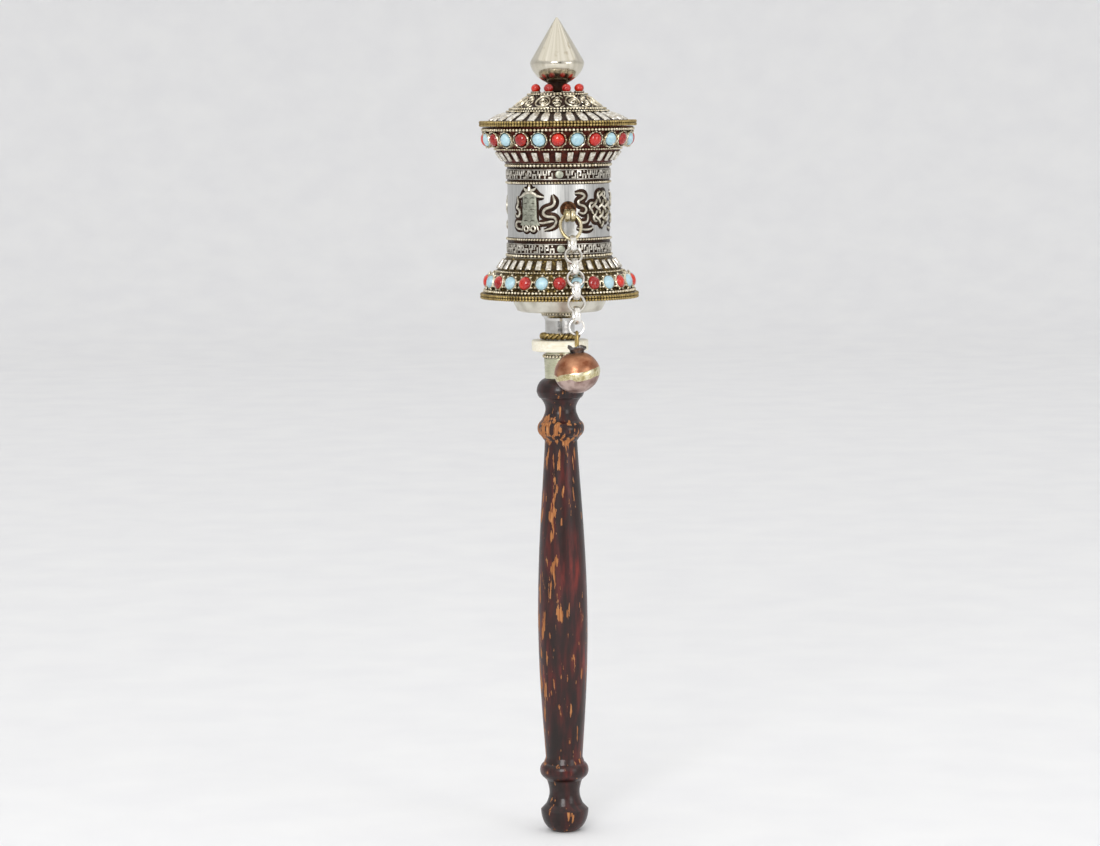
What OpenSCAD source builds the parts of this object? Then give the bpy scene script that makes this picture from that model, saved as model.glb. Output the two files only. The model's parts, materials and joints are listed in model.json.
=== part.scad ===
// Hand-held prayer wheel: a metal drum that spins on a rod above a turned wooden handle,
// driven by a weighted ball on a short chain. Millimetres, +Z up the rod, front towards -Y,
// origin on the rod's axis at the small flat on the end of the handle.

/* [Handle] */
// Length of the wooden handle, from its end to the ferrule's seat
handle_len = 160.8; // [140:0.1:200]
// Radius of the grip at its swell
grip_r = 8.65; // [7.5:0.05:11]
// Radius of the grip's two ends, beside the beads
grip_end_r = 5.7; // [5.2:0.05:6.4]
// Radius of the turned beads
bead_r = 8.4; // [7.6:0.05:10]
// Radius of the coves, the narrow necks beside the beads
cove_r = 5.35; // [4.8:0.05:6]

/* [Axle] */
// Diameter of the steel rod that the drum turns on
axle_d = 4; // [3.2:0.1:4.8]
// Diameter of the rod's threaded tip
tip_d = 3; // [2.4:0.1:3.1]
// Length of the threaded tip
tip_len = 9; // [6:0.5:12]
// Depth of the rod's socket in the handle
socket_depth = 42; // [30:1:60]

/* [Ferrule and washer] */
// Height of the silver ferrule
ferrule_h = 9.5; // [8:0.1:14]
// Radius of the ferrule at its foot
ferrule_r = 5.35; // [4.8:0.05:5.6]
// Thickness of the bone washer
washer_h = 3.8; // [2.5:0.1:6]
// Radius of the bone washer
washer_r = 9.9; // [8:0.1:12]

/* [Hub] */
// Length of the hub sleeve below the dish
hub_h = 9.9; // [8:0.1:14]
// Outer radius of the hub sleeve
hub_r = 5.2; // [4.6:0.05:6]
// Depth of the silver dish under the drum
dish_h = 4.8; // [3:0.1:6]
// Radius of the dish at its top
dish_r = 16.9; // [14:0.1:19]

/* [Drum] */
// Outer radius of the drum's plain cylinder
shell_r = 17.75; // [16:0.05:21.5]
// Wall of the cylinder and of the flanges
wall = 0.7; // [0.5:0.05:1]
// Height of the cylinder between the two flanges
shell_h = 32.7; // [30:0.1:45]
// Height of each bell-shaped flange
flange_h = 12.35; // [11.6:0.05:16]
// How far the flanges' outer edge stands out beyond the cylinder
flange_out = 8.45; // [7.5:0.05:12]
// Height of the raised symbols
symbol_h = 15.4; // [12:0.1:16]
// How far the symbols stand out of the cylinder
symbol_rise = 0.75; // [0.4:0.05:1]

/* [Stones] */
// Diameter of the coral and turquoise stones
stone_d = 4.5; // [3.6:0.05:4.7]
// Stones round the lower flange
lower_stones = 26; // [20:2:26]
// Stones round the upper flange
upper_stones = 24; // [18:2:24]
// Diameter of the coral balls on the roof
coral_d = 3; // [2:0.1:3.4]
// Coral balls on the roof
corals = 8; // [4:1:10]

/* [Roof] */
// Height of the conical roof
roof_h = 11; // [9:0.1:16]
// Radius of the roof's flat crown
crown_r = 9.6; // [8.5:0.1:12]
// Height of the finial above the crown
finial_h = 26.4; // [20:0.1:34]
// Radius of the finial at its shoulder
finial_r = 9.45; // [8:0.05:11]

/* [Chain and weight] */
// Angle of the lug from the front, turning to the right
chain_az = 10.5; // [0:0.5:20]
// Outer radius of a chain link
link_r = 3.2; // [2.9:0.05:3.6]
// Thickness of a link's band
link_wall = 0.8; // [0.6:0.05:0.9]
// Width of a link's band
link_band = 2.5; // [1.8:0.1:2.6]
// Wire of the large ring at the lug
ring_wire = 1; // [0.8:0.05:1.1]
// Width of the large ring, outside
ring_w = 8.2; // [7.6:0.1:10]
// Distance from the lug's eye to the large ring's lowest wire
ring_drop = 8.8; // [8.4:0.1:12]
// Diameter of the weight ball
ball_d = 15.9; // [12:0.1:18]
// Height of the weight ball
ball_h = 13; // [10:0.1:15]

/* [Hidden] */
$fn = 96;

// Gaps between pieces
solder = 0.02;      // film between soldered or glued pieces
run_gap = 0.05;     // radial play of the bushes on the rod
thrust_gap = 0.15;  // play between the faces that slide on each other
link_gap = 0.1;     // play between two links of the chain

// Levels up the rod
ferrule_top = handle_len + ferrule_h;
washer_z = ferrule_top + thrust_gap;
hub_z = washer_z + washer_h + thrust_gap;
dish_z = hub_z + hub_h;
plate_z = dish_z + dish_h;
plate_h = 0.8;
lip_h = 1.8;
flange_z = plate_z + lip_h + solder;
shell_z = flange_z + flange_h + solder;
upper_z = shell_z + shell_h + solder;
mouth_z = upper_z + flange_h;
roof_z = mouth_z + 0.3;
crown_z = roof_z + roof_h;
finial_z = crown_z + 0.5;
finial_foot_h = 2.4;
axle_top = finial_z + finial_foot_h + tip_len;

// Radii that pieces share
flange_r = shell_r + flange_out;
axle_r = axle_d / 2;
bush_r = hub_r - 1;
tube_r = axle_r + 1.4;
flange_in_r = shell_r + solder;
rib_r = flange_in_r + wall + 0.3;

// A ring whose section is the rectangle from r_in to r_out and from z to z + h
module band(r_in, r_out, z, h) {
    rotate_extrude()
        translate([r_in, z])
            square([r_out - r_in, h]);
}

// A half-round wire bent round a seat of radius r_in, its middle at height z
module wire_ring(r_in, d, z) {
    rotate_extrude()
        intersection() {
            translate([r_in + d * 0.3, z])
                circle(d = d);
            translate([r_in, z - d])
                square([2 * d, 2 * d]);
        }
}

// A solid turned from the outline given as [radius, height] points
module turned(points) {
    rotate_extrude()
        polygon(points);
}

// Puts children drawn at the front at an angle round the rod
module at_angle(az) {
    rotate([0, 0, az])
        children();
}

// ---------------------------------------------------------------- handle

end_flat_r = 3;
knob_z = 7.8;       // widest place of the end knob
low_bead_z = 21.9;  // widest place of the lower bead
high_bead_z = handle_len - 17.6;
dome_z = handle_len - 4.7;
grip_low = low_bead_z + 4.6;
grip_high = high_bead_z - 4.4;

// Points on an arc round a centre in the outline's plane, from angle a to angle b
function arc(r0, z0, rr, rz, a, b, n = 8) =
    [for (i = [0:n]) let (t = a + (b - a) * i / n) [r0 + rr * cos(t), z0 + rz * sin(t)]];

// The grip swells from one end to the other as a half wave, a little below its middle
function grip(n = 24) =
    [for (i = [0:n]) let (t = i / n)
        [grip_end_r + 0.8 * (1 - t) + (grip_r - grip_end_r - 0.35) * pow(sin(180 * pow(t, 0.9)), 1.15),
         grip_low + (grip_high - grip_low) * t]];

// A cove between two heights
function cove(z_low, z_high, r_low, r_high, n = 10) =
    [for (i = [0:n]) let (t = i / n, s = sin(180 * t))
        [(r_low + (r_high - r_low) * t) * (1 - s) + cove_r * s, z_low + (z_high - z_low) * t]];

module handle() {
    dome_foot_z = dome_z - 1.4;
    color("saddlebrown")
        difference() {
            turned(concat(
                [[0, 0], [end_flat_r, 0]],
                arc(end_flat_r, knob_z, bead_r - end_flat_r, knob_z, -90, 0, 10),
                cove(knob_z + 2, low_bead_z - 3.6, bead_r - 1.9, bead_r - 2.2),
                arc(bead_r - 2.4, low_bead_z, 2.6, 3, -60, 62, 8),
                grip(),
                arc(bead_r - 2.6, high_bead_z, 2.4, 3, -62, 60, 8),
                cove(high_bead_z + 3.1, dome_foot_z - 0.9, bead_r - 1.8, bead_r - 1.4),
                [[bead_r - 0.9, dome_foot_z - 0.6], [bead_r - 0.5, dome_foot_z]],
                arc(ferrule_r - 0.6, dome_z, bead_r - ferrule_r + 0.6, handle_len - dome_z, 0, 78, 8),
                [[ferrule_r - 0.4, handle_len], [0, handle_len]]
            ));
            translate([0, 0, handle_len - socket_depth])
                cylinder(r = axle_r + solder, h = socket_depth + 1);
        }
}

// ---------------------------------------------------------------- ferrule, axle, washer

collar_h = 0.9;
ferrule_wire = 1.7;

module ferrule() {
    ring_z = ferrule_top - collar_h - ferrule_wire;
    color("silver")
        difference() {
            turned([
                [0, handle_len + solder], [ferrule_r, handle_len + solder], [ferrule_r + 0.25, ring_z],
                [ferrule_r - 0.35, ring_z], [ferrule_r - 0.35, ferrule_top], [0, ferrule_top]
            ]);
            translate([0, 0, handle_len])
                cylinder(r = axle_r + solder, h = ferrule_h + 1);
        }
}

module ferrule_bead_ring() {
    color("goldenrod")
        wire_ring(ferrule_r - 0.35 + solder, ferrule_wire * 0.92, ferrule_top - collar_h - ferrule_wire / 2);
}

module axle() {
    color("gray") {
        translate([0, 0, handle_len - socket_depth + 0.5])
            cylinder(r = axle_r, h = finial_z - handle_len + socket_depth - 0.5);
        translate([0, 0, finial_z])
            cylinder(d = tip_d, h = axle_top - finial_z);
    }
}

module bone_washer() {
    edge = 0.35;
    color("ivory")
        turned([
            [axle_r + run_gap, washer_z], [washer_r - edge, washer_z], [washer_r, washer_z + edge],
            [washer_r, washer_z + washer_h - edge], [washer_r - edge, washer_z + washer_h],
            [axle_r + run_gap, washer_z + washer_h]
        ]);
}

// ---------------------------------------------------------------- hub

rope_d = 2.3;
hub_wire = 1.3;
flare_h = 2.6;

module hub_sleeve() {
    neck_z = dish_z - hub_wire - 0.2;
    color("silver")
        turned([
            [bush_r + solder, hub_z], [hub_r, hub_z], [hub_r, neck_z - flare_h + 0.8],
            [hub_r + 0.35, neck_z - 0.8], [hub_r + 1.2, neck_z], [hub_r + 0.3, neck_z],
            [hub_r + 0.3, dish_z - solder], [bush_r + solder, dish_z - solder]
        ]);
}

module rope_ring() {
    color("goldenrod")
        wire_ring(hub_r + solder, rope_d, hub_z + rope_d / 2 + 0.05);
}

module hub_bead_ring() {
    color("silver")
        wire_ring(hub_r + 0.3 + solder, hub_wire, dish_z - hub_wire / 2 - 0.1);
}

module lower_bush() {
    color("goldenrod")
        band(axle_r + run_gap, bush_r, hub_z, plate_z - hub_z);
}

module upper_bush() {
    color("goldenrod") {
        band(axle_r + run_gap, tube_r + wall, mouth_z - 1, 1.1);
        band(axle_r + run_gap, tube_r - solder, mouth_z - 5, 4);
    }
}

module axle_tube() {
    color("darkgoldenrod")
        band(tube_r, tube_r + wall, plate_z + plate_h + solder, mouth_z - 1 - plate_z - plate_h - 2 * solder);
}

module prayer_scroll() {
    color("wheat")
        band(tube_r + wall + solder, shell_r - wall - 0.6, flange_z + 0.3, mouth_z - flange_z - 3);
}

// ---------------------------------------------------------------- drum body

module bottom_dish() {
    lip = dish_r - dish_h * 0.45;
    color("silver")
        turned([
            [bush_r + solder, dish_z], [lip - 1, dish_z], [lip, dish_z + 0.45], [dish_r, plate_z - solder],
            [dish_r - 1, plate_z - solder], [lip - 1.2, dish_z + wall + 0.3], [bush_r + solder, dish_z + wall + 0.3]
        ]);
}

module bottom_plate() {
    color("silver")
        turned([
            [axle_r + run_gap + 0.1, plate_z], [flange_r, plate_z], [flange_r, plate_z + lip_h],
            [flange_r - 1, plate_z + lip_h], [flange_r - 1, plate_z + plate_h], [axle_r + run_gap + 0.1, plate_z + plate_h]
        ]);
}

module drum_shell() {
    color("lightgray")
        band(shell_r - wall, shell_r, shell_z, shell_h);
}

// The flange's outline as [radius, height above its wide edge]; the wide edge is at height 0
edge_h = 1.4;    // plain edge that carries the beaded wire
ground_h = 5.8;  // sloping ground behind the stones
ground_in = flange_r - 4.3;
edge_bead_low = 0.25;
edge_bead_high = 1.25;
rib_h = flange_h - edge_h - ground_h - 0.9;
rib_foot = edge_h + ground_h + 0.9;

function bell_out() = [
    [flange_r, 0], [flange_r, 0.2], [flange_r - 0.9, edge_h], [ground_in, edge_h + ground_h],
    [ground_in - 0.3, rib_foot], [rib_r, rib_foot + rib_h - 0.4], [rib_r - 0.3, flange_h]
];

function bell_in() = [
    [shell_r - wall, flange_h], [rib_r - wall - 0.3, rib_foot + rib_h - 1.1],
    [ground_in - wall - 0.5, rib_foot - 0.5], [ground_in - wall - 0.2, edge_h + ground_h - 0.5],
    [flange_r - wall - 1.1, edge_h - 0.2], [flange_r - wall - 0.4, 0]
];

module bell() {
    turned(concat(bell_out(), bell_in()));
}

// Puts a flange piece drawn with its wide edge at height 0 on the drum's lower or upper end
module as_lower() {
    translate([0, 0, flange_z])
        children();
}

module as_upper() {
    translate([0, 0, mouth_z])
        mirror([0, 0, 1])
            children();
}

module lower_flange() {
    color("dimgray")
        as_lower()
            bell();
}

module upper_flange() {
    color("dimgray")
        as_upper()
            bell();
}

// ---------------------------------------------------------------- wires and bands

rim_wire = 0.95;
bead_wire = 1.15;
fine_wire = 0.7;

module rim_pair(r_in) {
    wire_ring(r_in, rim_wire, rim_wire * 0.5);
    wire_ring(r_in, rim_wire, rim_wire * 1.52);
}

module lower_rim_wires() {
    color("darkgoldenrod")
        translate([0, 0, plate_z - 0.1])
            rim_pair(flange_r + 0.75);
    color("darkgoldenrod")
        translate([0, 0, plate_z - 0.1])
            band(flange_r + solder, flange_r + 0.75 - solder, 0, rim_wire * 2);
}

module flange_beads() {
    turned([
        [flange_r + solder, edge_bead_low], [flange_r + 0.35, edge_bead_low],
        [flange_r + 0.35, edge_bead_high], [flange_r - 0.7, edge_bead_high]
    ]);
    wire_ring(ground_in + 0.02, fine_wire, edge_h + ground_h + 0.42);
}

module lower_bead_rings() {
    color("silver")
        as_lower()
            flange_beads();
}

module upper_bead_rings() {
    color("silver")
        as_upper()
            flange_beads();
}

shell_ring_low = shell_z + 0.75;
shell_ring_high = shell_z + shell_h - 0.75;
band_h = 3.5;
fret_low = shell_z + 1.6;
fret_high = shell_z + shell_h - 2.1 - band_h;
wire_low = fret_low + band_h + 1.4;
wire_high = fret_high - 1.1;

module shell_bead_rings() {
    color("silver") {
        wire_ring(shell_r + solder, bead_wire, shell_ring_low);
        wire_ring(shell_r + solder, bead_wire, shell_ring_high);
    }
}

module band_wires() {
    color("goldenrod") {
        wire_ring(shell_r + solder, fine_wire + 0.1, wire_low);
        wire_ring(shell_r + solder, fine_wire + 0.1, wire_high);
    }
}

module lower_fret_band() {
    color("gray")
        band(shell_r + solder, shell_r + 0.5, fret_low, band_h);
}

module upper_fret_band() {
    color("gray")
        band(shell_r + solder, shell_r + 0.5, fret_high, band_h);
}

// ---------------------------------------------------------------- ribs

lower_rib_count = 36;
upper_rib_count = 32;
rib_share = 0.62;  // share of the pitch that a rib takes

// Wedges round the rod, to cut a ring into ribs
module wedges(count, r) {
    half = 180 / count * rib_share;
    linear_extrude(60, center = true)
        for (i = [0:count - 1])
            rotate([0, 0, i * 360 / count - 90])
                polygon([[0, 0], [r, -r * tan(half)], [r, r * tan(half)]]);
}

module flange_ribs(count) {
    low = rib_foot + 0.25;
    high = rib_foot + rib_h - 0.65;
    slope = (ground_in - 0.3 - rib_r) / (rib_h - 0.4);
    r_low = ground_in - 0.3 - 0.25 * slope;
    r_high = ground_in - 0.3 - (rib_h - 0.65) * slope;
    intersection() {
        turned([
            [r_low + 0.04, low], [r_low + 0.75, low], [r_high + 0.75, high], [r_high + 0.04, high]
        ]);
        wedges(count, flange_r);
    }
}

module lower_ribs() {
    color("silver")
        as_lower()
            flange_ribs(lower_rib_count);
}

module upper_ribs() {
    color("silver")
        as_upper()
            flange_ribs(upper_rib_count);
}

// ---------------------------------------------------------------- stones

bezel_wall = 0.42;
bezel_r = stone_d / 2 + bezel_wall;
stone_z = edge_h + ground_h / 2 + 0.2;
stone_tilt = 14;
bezel_out = flange_r - 1;     // radius of the bezel's outer face at its middle
pocket = 1.1;

// Places a bezel or a stone, drawn along its own +Z from the bezel's outer face
module at_stones(count, first, step) {
    for (i = [first:step:count - 1])
        rotate([0, 0, i * 360 / count])
            translate([0, -bezel_out, stone_z])
                rotate([90 - stone_tilt, 0, 0])
                    children();
}

// The solid of revolution that the bezels are cut to fit
module ground_core() {
    turned([
        [0, -1], [flange_r + 0.1, -1], [flange_r + 0.06, 0.2], [flange_r - 0.84, edge_h],
        [ground_in + 0.06, edge_h + ground_h], [ground_in - 0.2, flange_h], [0, flange_h]
    ]);
}

module flange_bezels(count) {
    difference() {
        at_stones(count, 0, 1)
            difference() {
                translate([0, 0, -4])
                    cylinder(r = bezel_r, h = 4, $fn = 40);
                translate([0, 0, -pocket])
                    cylinder(r = stone_d / 2 + 0.03, h = pocket + 1, $fn = 40);
            }
        ground_core();
        band(flange_r - 1.2, flange_r + 0.4, edge_bead_low - solder, edge_bead_high - edge_bead_low + 2 * solder);
    }
}

// A cabochon: a low dome on a short straight girdle
module cabochon() {
    dome = stone_d * 0.3;
    dome_r = (pow(stone_d / 2, 2) + dome * dome) / (2 * dome);
    girdle = pocket - 0.4;
    translate([0, 0, -girdle])
        cylinder(d = stone_d, h = girdle, $fn = 40);
    intersection() {
        translate([0, 0, dome - dome_r])
            sphere(dome_r);
        cylinder(d = stone_d, h = dome + 1, $fn = 40);
    }
}

module lower_bezels() {
    color("silver")
        as_lower()
            flange_bezels(lower_stones);
}

module lower_corals() {
    color("orangered")
        as_lower()
            at_stones(lower_stones, 0, 2)
                cabochon();
}

module lower_turquoises() {
    color("skyblue")
        as_lower()
            at_stones(lower_stones, 1, 2)
                cabochon();
}

module upper_bezels() {
    color("silver")
        as_upper()
            flange_bezels(upper_stones);
}

module upper_corals() {
    color("orangered")
        as_upper()
            at_stones(upper_stones, 0, 2)
                cabochon();
}

module upper_turquoises() {
    color("skyblue")
        as_upper()
            at_stones(upper_stones, 1, 2)
                cabochon();
}

// ---------------------------------------------------------------- raised symbols

symbol_z = (wire_low + wire_high) / 2 + 0.5;
first_symbol = -31;  // angle of the banner; the others follow a quarter turn apart

// Raises a flat motif, drawn in X and Y about its middle, out of the cylinder
module symbol(turn) {
    intersection() {
        at_angle(first_symbol + turn)
            translate([0, 0, symbol_z])
                rotate([90, 0, 0])
                    linear_extrude(shell_r + 2)
                        children();
        band(shell_r + solder, shell_r + symbol_rise, symbol_z - symbol_h / 2, symbol_h);
    }
}

// A closed ribbon loop, an oval ring of the given half sizes
module loop(x, y, half_w, half_h, w = 1) {
    translate([x, y])
        difference() {
            square([2 * half_w, 2 * half_h], center = true);
            square([2 * (half_w - w), 2 * (half_h - w)], center = true);
        }
}

module banner_relief() {
    color("gray")
        symbol(0) {
            square([5.4, symbol_h - 3], center = true);
            polygon([[-3.8, 4.2], [3.8, 4.2], [1.6, symbol_h / 2], [-1.6, symbol_h / 2]]);
            translate([0, -symbol_h / 2 + 1.8])
                square([7, 2.4], center = true);
            loop(5.2, -1.5, 2.4, 3.4);
            loop(-5.2, -1.5, 2.4, 3.4);
        }
}

module knot_relief() {
    color("gray")
        symbol(90) {
            rotate(45)
                difference() {
                    square(9, center = true);
                    for (x = [-3, 0, 3], y = [-3, 0, 3])
                        translate([x, y])
                            square(1.3, center = true);
                }
            loop(5.8, -1.2, 2, 4);
            loop(-5.8, -1.2, 2, 4);
        }
}

module lotus_relief() {
    color("gray")
        symbol(180) {
            for (a = [-64, -32, 0, 32, 64])
                rotate(a)
                    translate([0, 3])
                        polygon([[-1.7, -4], [-2, 0], [0, 4.4], [2, 0], [1.7, -4]]);
            translate([0, -3.4])
                square([8, 2.6], center = true);
            translate([0, -5.8])
                square([4, 2.6], center = true);
        }
}

module wheel_relief() {
    color("gray")
        symbol(270) {
            difference() {
                circle(6.4, $fn = 64);
                circle(4.8, $fn = 64);
            }
            circle(1.7, $fn = 48);
            for (a = [0:45:315])
                rotate(a)
                    translate([3.4, 0])
                        square([4.4, 0.9], center = true);
            translate([0, -6.9])
                square([8, 1.4], center = true);
        }
}

// ---------------------------------------------------------------- roof

roof_pitch_in = (crown_r + flange_r) / 2;  // radius of the finer of the two bead rings half way down
roof_edge_h = 0.9;
roof_sheet = 0.8;

// The roof's outer outline; it is a cone with one soft break at the twin bead rings
roof_mid_z = roof_z + roof_h * 0.41;
roof_rib_r = flange_r - 1.9;

module roof_cone() {
    color("dimgray")
        turned([
            [tube_r, crown_z], [crown_r, crown_z], [roof_pitch_in, roof_mid_z], [roof_rib_r, roof_z + 1.7],
            [flange_r + 0.1, roof_z + roof_edge_h], [flange_r + 0.1, roof_z], [flange_r - 2, roof_z],
            [roof_pitch_in, roof_mid_z - roof_sheet - 0.3], [crown_r, crown_z - roof_sheet - 0.2],
            [tube_r, crown_z - roof_sheet]
        ]);
}

module roof_rim_wires() {
    color("darkgoldenrod")
        translate([0, 0, roof_z - 0.05]) {
            rim_pair(flange_r + 0.5);
            band(flange_r + 0.1 + solder, flange_r + 0.5 - solder, 0, rim_wire * 2);
        }
}

// A ring laid on the roof between two places on its slope, given as shares of the slope
module on_slope(r0, z0, r1, z1, from, to, rise) {
    function along(t) = [r0 + (r1 - r0) * t, z0 + (z1 - z0) * t];
    length = norm([r1 - r0, z1 - z0]);
    out = [(z0 - z1) / length, (r1 - r0) / length];
    turned([
        along(from) + out * 0.04, along(to) + out * 0.04, along(to) + out * rise, along(from) + out * rise
    ]);
}

module on_upper_slope(from, to, rise) {
    on_slope(crown_r, crown_z, roof_pitch_in, roof_mid_z, from, to, rise);
}

module on_lower_slope(from, to, rise) {
    on_slope(roof_pitch_in, roof_mid_z, roof_rib_r, roof_z + 1.7, from, to, rise);
}

module roof_scroll_band() {
    color("gray")
        on_upper_slope(0.12, 0.74, 0.55);
}

module roof_bead_rings() {
    color("silver") {
        on_upper_slope(0.01, 0.1, 0.8);
        on_upper_slope(0.78, 0.9, 0.9);
        on_upper_slope(0.92, 0.995, 0.6);
    }
}

module roof_ribs() {
    color("silver")
        intersection() {
            on_lower_slope(0.04, 0.97, 0.8);
            translate([0, 0, roof_z])
                wedges(upper_rib_count, flange_r);
        }
}

coral_ring_r = crown_r - coral_d / 2;

module at_corals() {
    for (i = [0:corals - 1])
        rotate([0, 0, (i + 0.5) * 360 / corals])
            translate([0, -coral_ring_r, crown_z])
                children();
}

coral_lift = 0.25;

module roof_corals() {
    color("orangered")
        at_corals()
            translate([0, 0, coral_lift + coral_d / 2])
                sphere(d = coral_d);
}

module coral_cups() {
    color("silver")
        at_corals()
            difference() {
                translate([0, 0, solder])
                    cylinder(d = coral_d * 0.9, h = 0.8, $fn = 40);
                translate([0, 0, coral_lift + coral_d / 2])
                    sphere(d = coral_d + 0.04);
            }
}

// ---------------------------------------------------------------- finial

foot_r = tube_r - 0.1;
bowl_h = 8;
shoulder_z = finial_z + finial_foot_h + bowl_h;
finial_top = crown_z + finial_h;
finial_wall = 0.9;

module finial() {
    low = finial_z + finial_foot_h;
    color("gainsboro")
        difference() {
            turned([
                [0, finial_z], [foot_r, finial_z], [foot_r, low], [finial_r * 0.52, low + bowl_h * 0.1],
                [finial_r * 0.7, low + bowl_h * 0.25], [finial_r * 0.83, low + bowl_h * 0.44],
                [finial_r * 0.92, low + bowl_h * 0.63], [finial_r * 0.98, low + bowl_h * 0.82],
                [finial_r, shoulder_z], [finial_r * 0.985, shoulder_z + 0.6], [0, finial_top]
            ]);
            translate([0, 0, finial_z - 1])
                cylinder(r = foot_r - finial_wall, h = finial_foot_h + 3);
            translate([0, 0, finial_z])
                cylinder(r = tip_d / 2 + 0.2, h = finial_foot_h + tip_len + 0.5);
            turned([
                [0, low + bowl_h * 0.3], [finial_r * 0.6, low + bowl_h * 0.35],
                [finial_r - finial_wall * 1.6, shoulder_z], [0, finial_top - finial_wall * 4]
            ]);
        }
}

module finial_nut() {
    nut_r = foot_r - finial_wall - solder;
    color("goldenrod")
        band(tip_d / 2 + run_gap, nut_r, finial_z + 0.1, finial_foot_h + 1.6);
}

// ---------------------------------------------------------------- lug and chain

eye_r = 1.95;
eye_hole_r = 1.1;
eye_w = 1.85;
lug_plate = 0.7;
eye_s = shell_r + lug_plate + eye_r;    // distance of the eye from the rod's axis
eye_z = symbol_z - 1.8;
boss_rise = 2.4;                        // the rivet's height above the eye

link_mid = link_r - link_wall / 2;
nest_slack = 0.6;                       // play in line between two links
link_nest = link_r - 1.5 * link_wall - nest_slack;  // from a link's pivot to its own middle
thin_wire = 0.7;
thin_r = 2.9;
jump_wire = 0.9;
jump_bend = 1.55;
jump_drop = 6.7;                        // from the thin ring's wire to the jump ring's lowest wire
first_nest = link_r - link_wall - ring_wire / 2 - link_gap;
chain_clear = 4.8;                      // the upright part hangs this far outside the flange
slant_len = ring_drop + first_nest + link_mid + 3 * (link_nest + link_mid);
slant = asin((flange_r + chain_clear - eye_s) / slant_len);  // lean where the chain crosses the flange
thin_nest = 1.2;

// What hangs on the chain: [distance from a piece's pivot to the next one's, lean from upright]
HANG = concat(
    [[ring_drop, slant], [first_nest + link_mid, slant]],
    [for (i = [2:7]) [link_nest + link_mid, i < 5 ? slant : 0]],
    [[thin_nest + thin_r - thin_wire / 2, 0], [jump_drop, 0], [0, 0]]
);

// The pivot of hanging piece k as [distance from the axis, height]
function pivot(k) =
    k == 0 ? [eye_s, eye_z] : pivot(k - 1) + HANG[k - 1][0] * [sin(HANG[k - 1][1]), -cos(HANG[k - 1][1])];

// Puts hanging piece k, drawn below its pivot, where it hangs
module hang(k) {
    at_angle(chain_az)
        translate([0, -pivot(k)[0], pivot(k)[1]])
            rotate([-HANG[k][1], 0, 0])
                children();
}

module chain_lug() {
    boss_r = 2.5;
    color("sienna")
        at_angle(chain_az)
            difference() {
                union() {
                    translate([0, -shell_r + 1, eye_z + boss_rise])
                        rotate([90, 0, 0])
                            cylinder(r = boss_r, h = 2.2);
                    for (side = [-1, 1])
                        translate([side * (eye_w / 2 + 0.08), -eye_s, eye_z]) {
                            rotate([0, 90, 0])
                                cylinder(r = eye_r, h = eye_w, center = true);
                            translate([-eye_w / 2, 0, 0.2])
                                cube([eye_w, eye_r + lug_plate + 0.5, 1.4]);
                        }
                }
                translate([0, -eye_s, eye_z])
                    rotate([0, 90, 0])
                        cylinder(r = eye_hole_r, h = 6, center = true);
                translate([0, 0, symbol_z])
                    cylinder(r = shell_r + solder, h = 30, center = true);
            }
}

// A ring of round wire with two straight sides, standing in the XZ plane
module oval_wire(bend, straight, wire) {
    rotate([90, 0, 0]) {
        translate([0, straight / 2, 0])
            rotate_extrude(angle = 180)
                translate([bend, 0])
                    circle(d = wire, $fn = 48);
        translate([0, -straight / 2, 0])
            rotate([0, 0, 180])
                rotate_extrude(angle = 180)
                    translate([bend, 0])
                        circle(d = wire, $fn = 48);
        for (side = [-1, 1])
            translate([side * bend, 0, 0])
                rotate([90, 0, 0])
                    cylinder(d = wire, h = straight, center = true, $fn = 48);
    }
}

ring_bend = ring_w / 2 - ring_wire / 2;
ring_lift = 0.22;    // the ring's top wire bows this far above the eye's middle

module chain_ring() {
    straight = ring_drop + ring_lift - 2 * ring_bend;
    color("gainsboro")
        hang(0)
            translate([0, 0, ring_lift - ring_bend - straight / 2])
                oval_wire(ring_bend, straight, ring_wire);
}

// A link of flat band with rounded faces; face is 0 across the front and 90 edge-on
module link(k, nest, face) {
    half = link_band / 2;
    bulge = (half * half + pow(link_wall / 2, 2)) / link_wall;
    color("silver")
        hang(k)
            translate([0, 0, -nest])
                rotate([90, 0, face])
                    rotate_extrude()
                        intersection() {
                            translate([link_mid - link_wall / 2 + bulge, 0])
                                circle(bulge, $fn = 72);
                            translate([link_mid + link_wall / 2 - bulge, 0])
                                circle(bulge, $fn = 72);
                            translate([link_mid - link_wall, -half * 0.96])
                                square([2 * link_wall, 2 * half * 0.96]);
                        }
}

module chain_link_1() {
    link(1, first_nest, 90);
}

module chain_link_2() {
    link(2, link_nest, 0);
}

module chain_link_3() {
    link(3, link_nest, 90);
}

module chain_link_4() {
    link(4, link_nest, 0);
}

module chain_link_5() {
    link(5, link_nest, 90);
}

module chain_link_6() {
    link(6, link_nest, 0);
}

module chain_link_7() {
    link(7, link_nest, 90);
}

module thin_ring() {
    color("silver")
        hang(8)
            translate([0, 0, -thin_nest])
                rotate([90, 0, 0])
                    rotate_extrude()
                        translate([thin_r - thin_wire / 2, 0])
                            circle(d = thin_wire, $fn = 48);
}

module jump_ring() {
    top = thin_wire / 2 + jump_wire / 2 + link_gap;
    straight = jump_drop + top - 2 * jump_bend;
    color("goldenrod")
        hang(9)
            translate([0, 0, top - jump_bend - straight / 2])
                rotate([0, 0, 90])
                    oval_wire(jump_bend, straight, jump_wire);
}

// ---------------------------------------------------------------- weight ball

bar_d = 1;
bar_lift = jump_wire / 2 + link_gap + bar_d / 2;  // the bar rests on the jump ring's lowest wire
neck_top = 3;                                     // the neck's rim above the ball's pivot
neck_foot = -0.9;
neck_r = 3.3;
ball_mid = neck_foot - ball_h / 2 + 0.5;
seam_h = 1.5;
ball_wall = 1;

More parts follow.
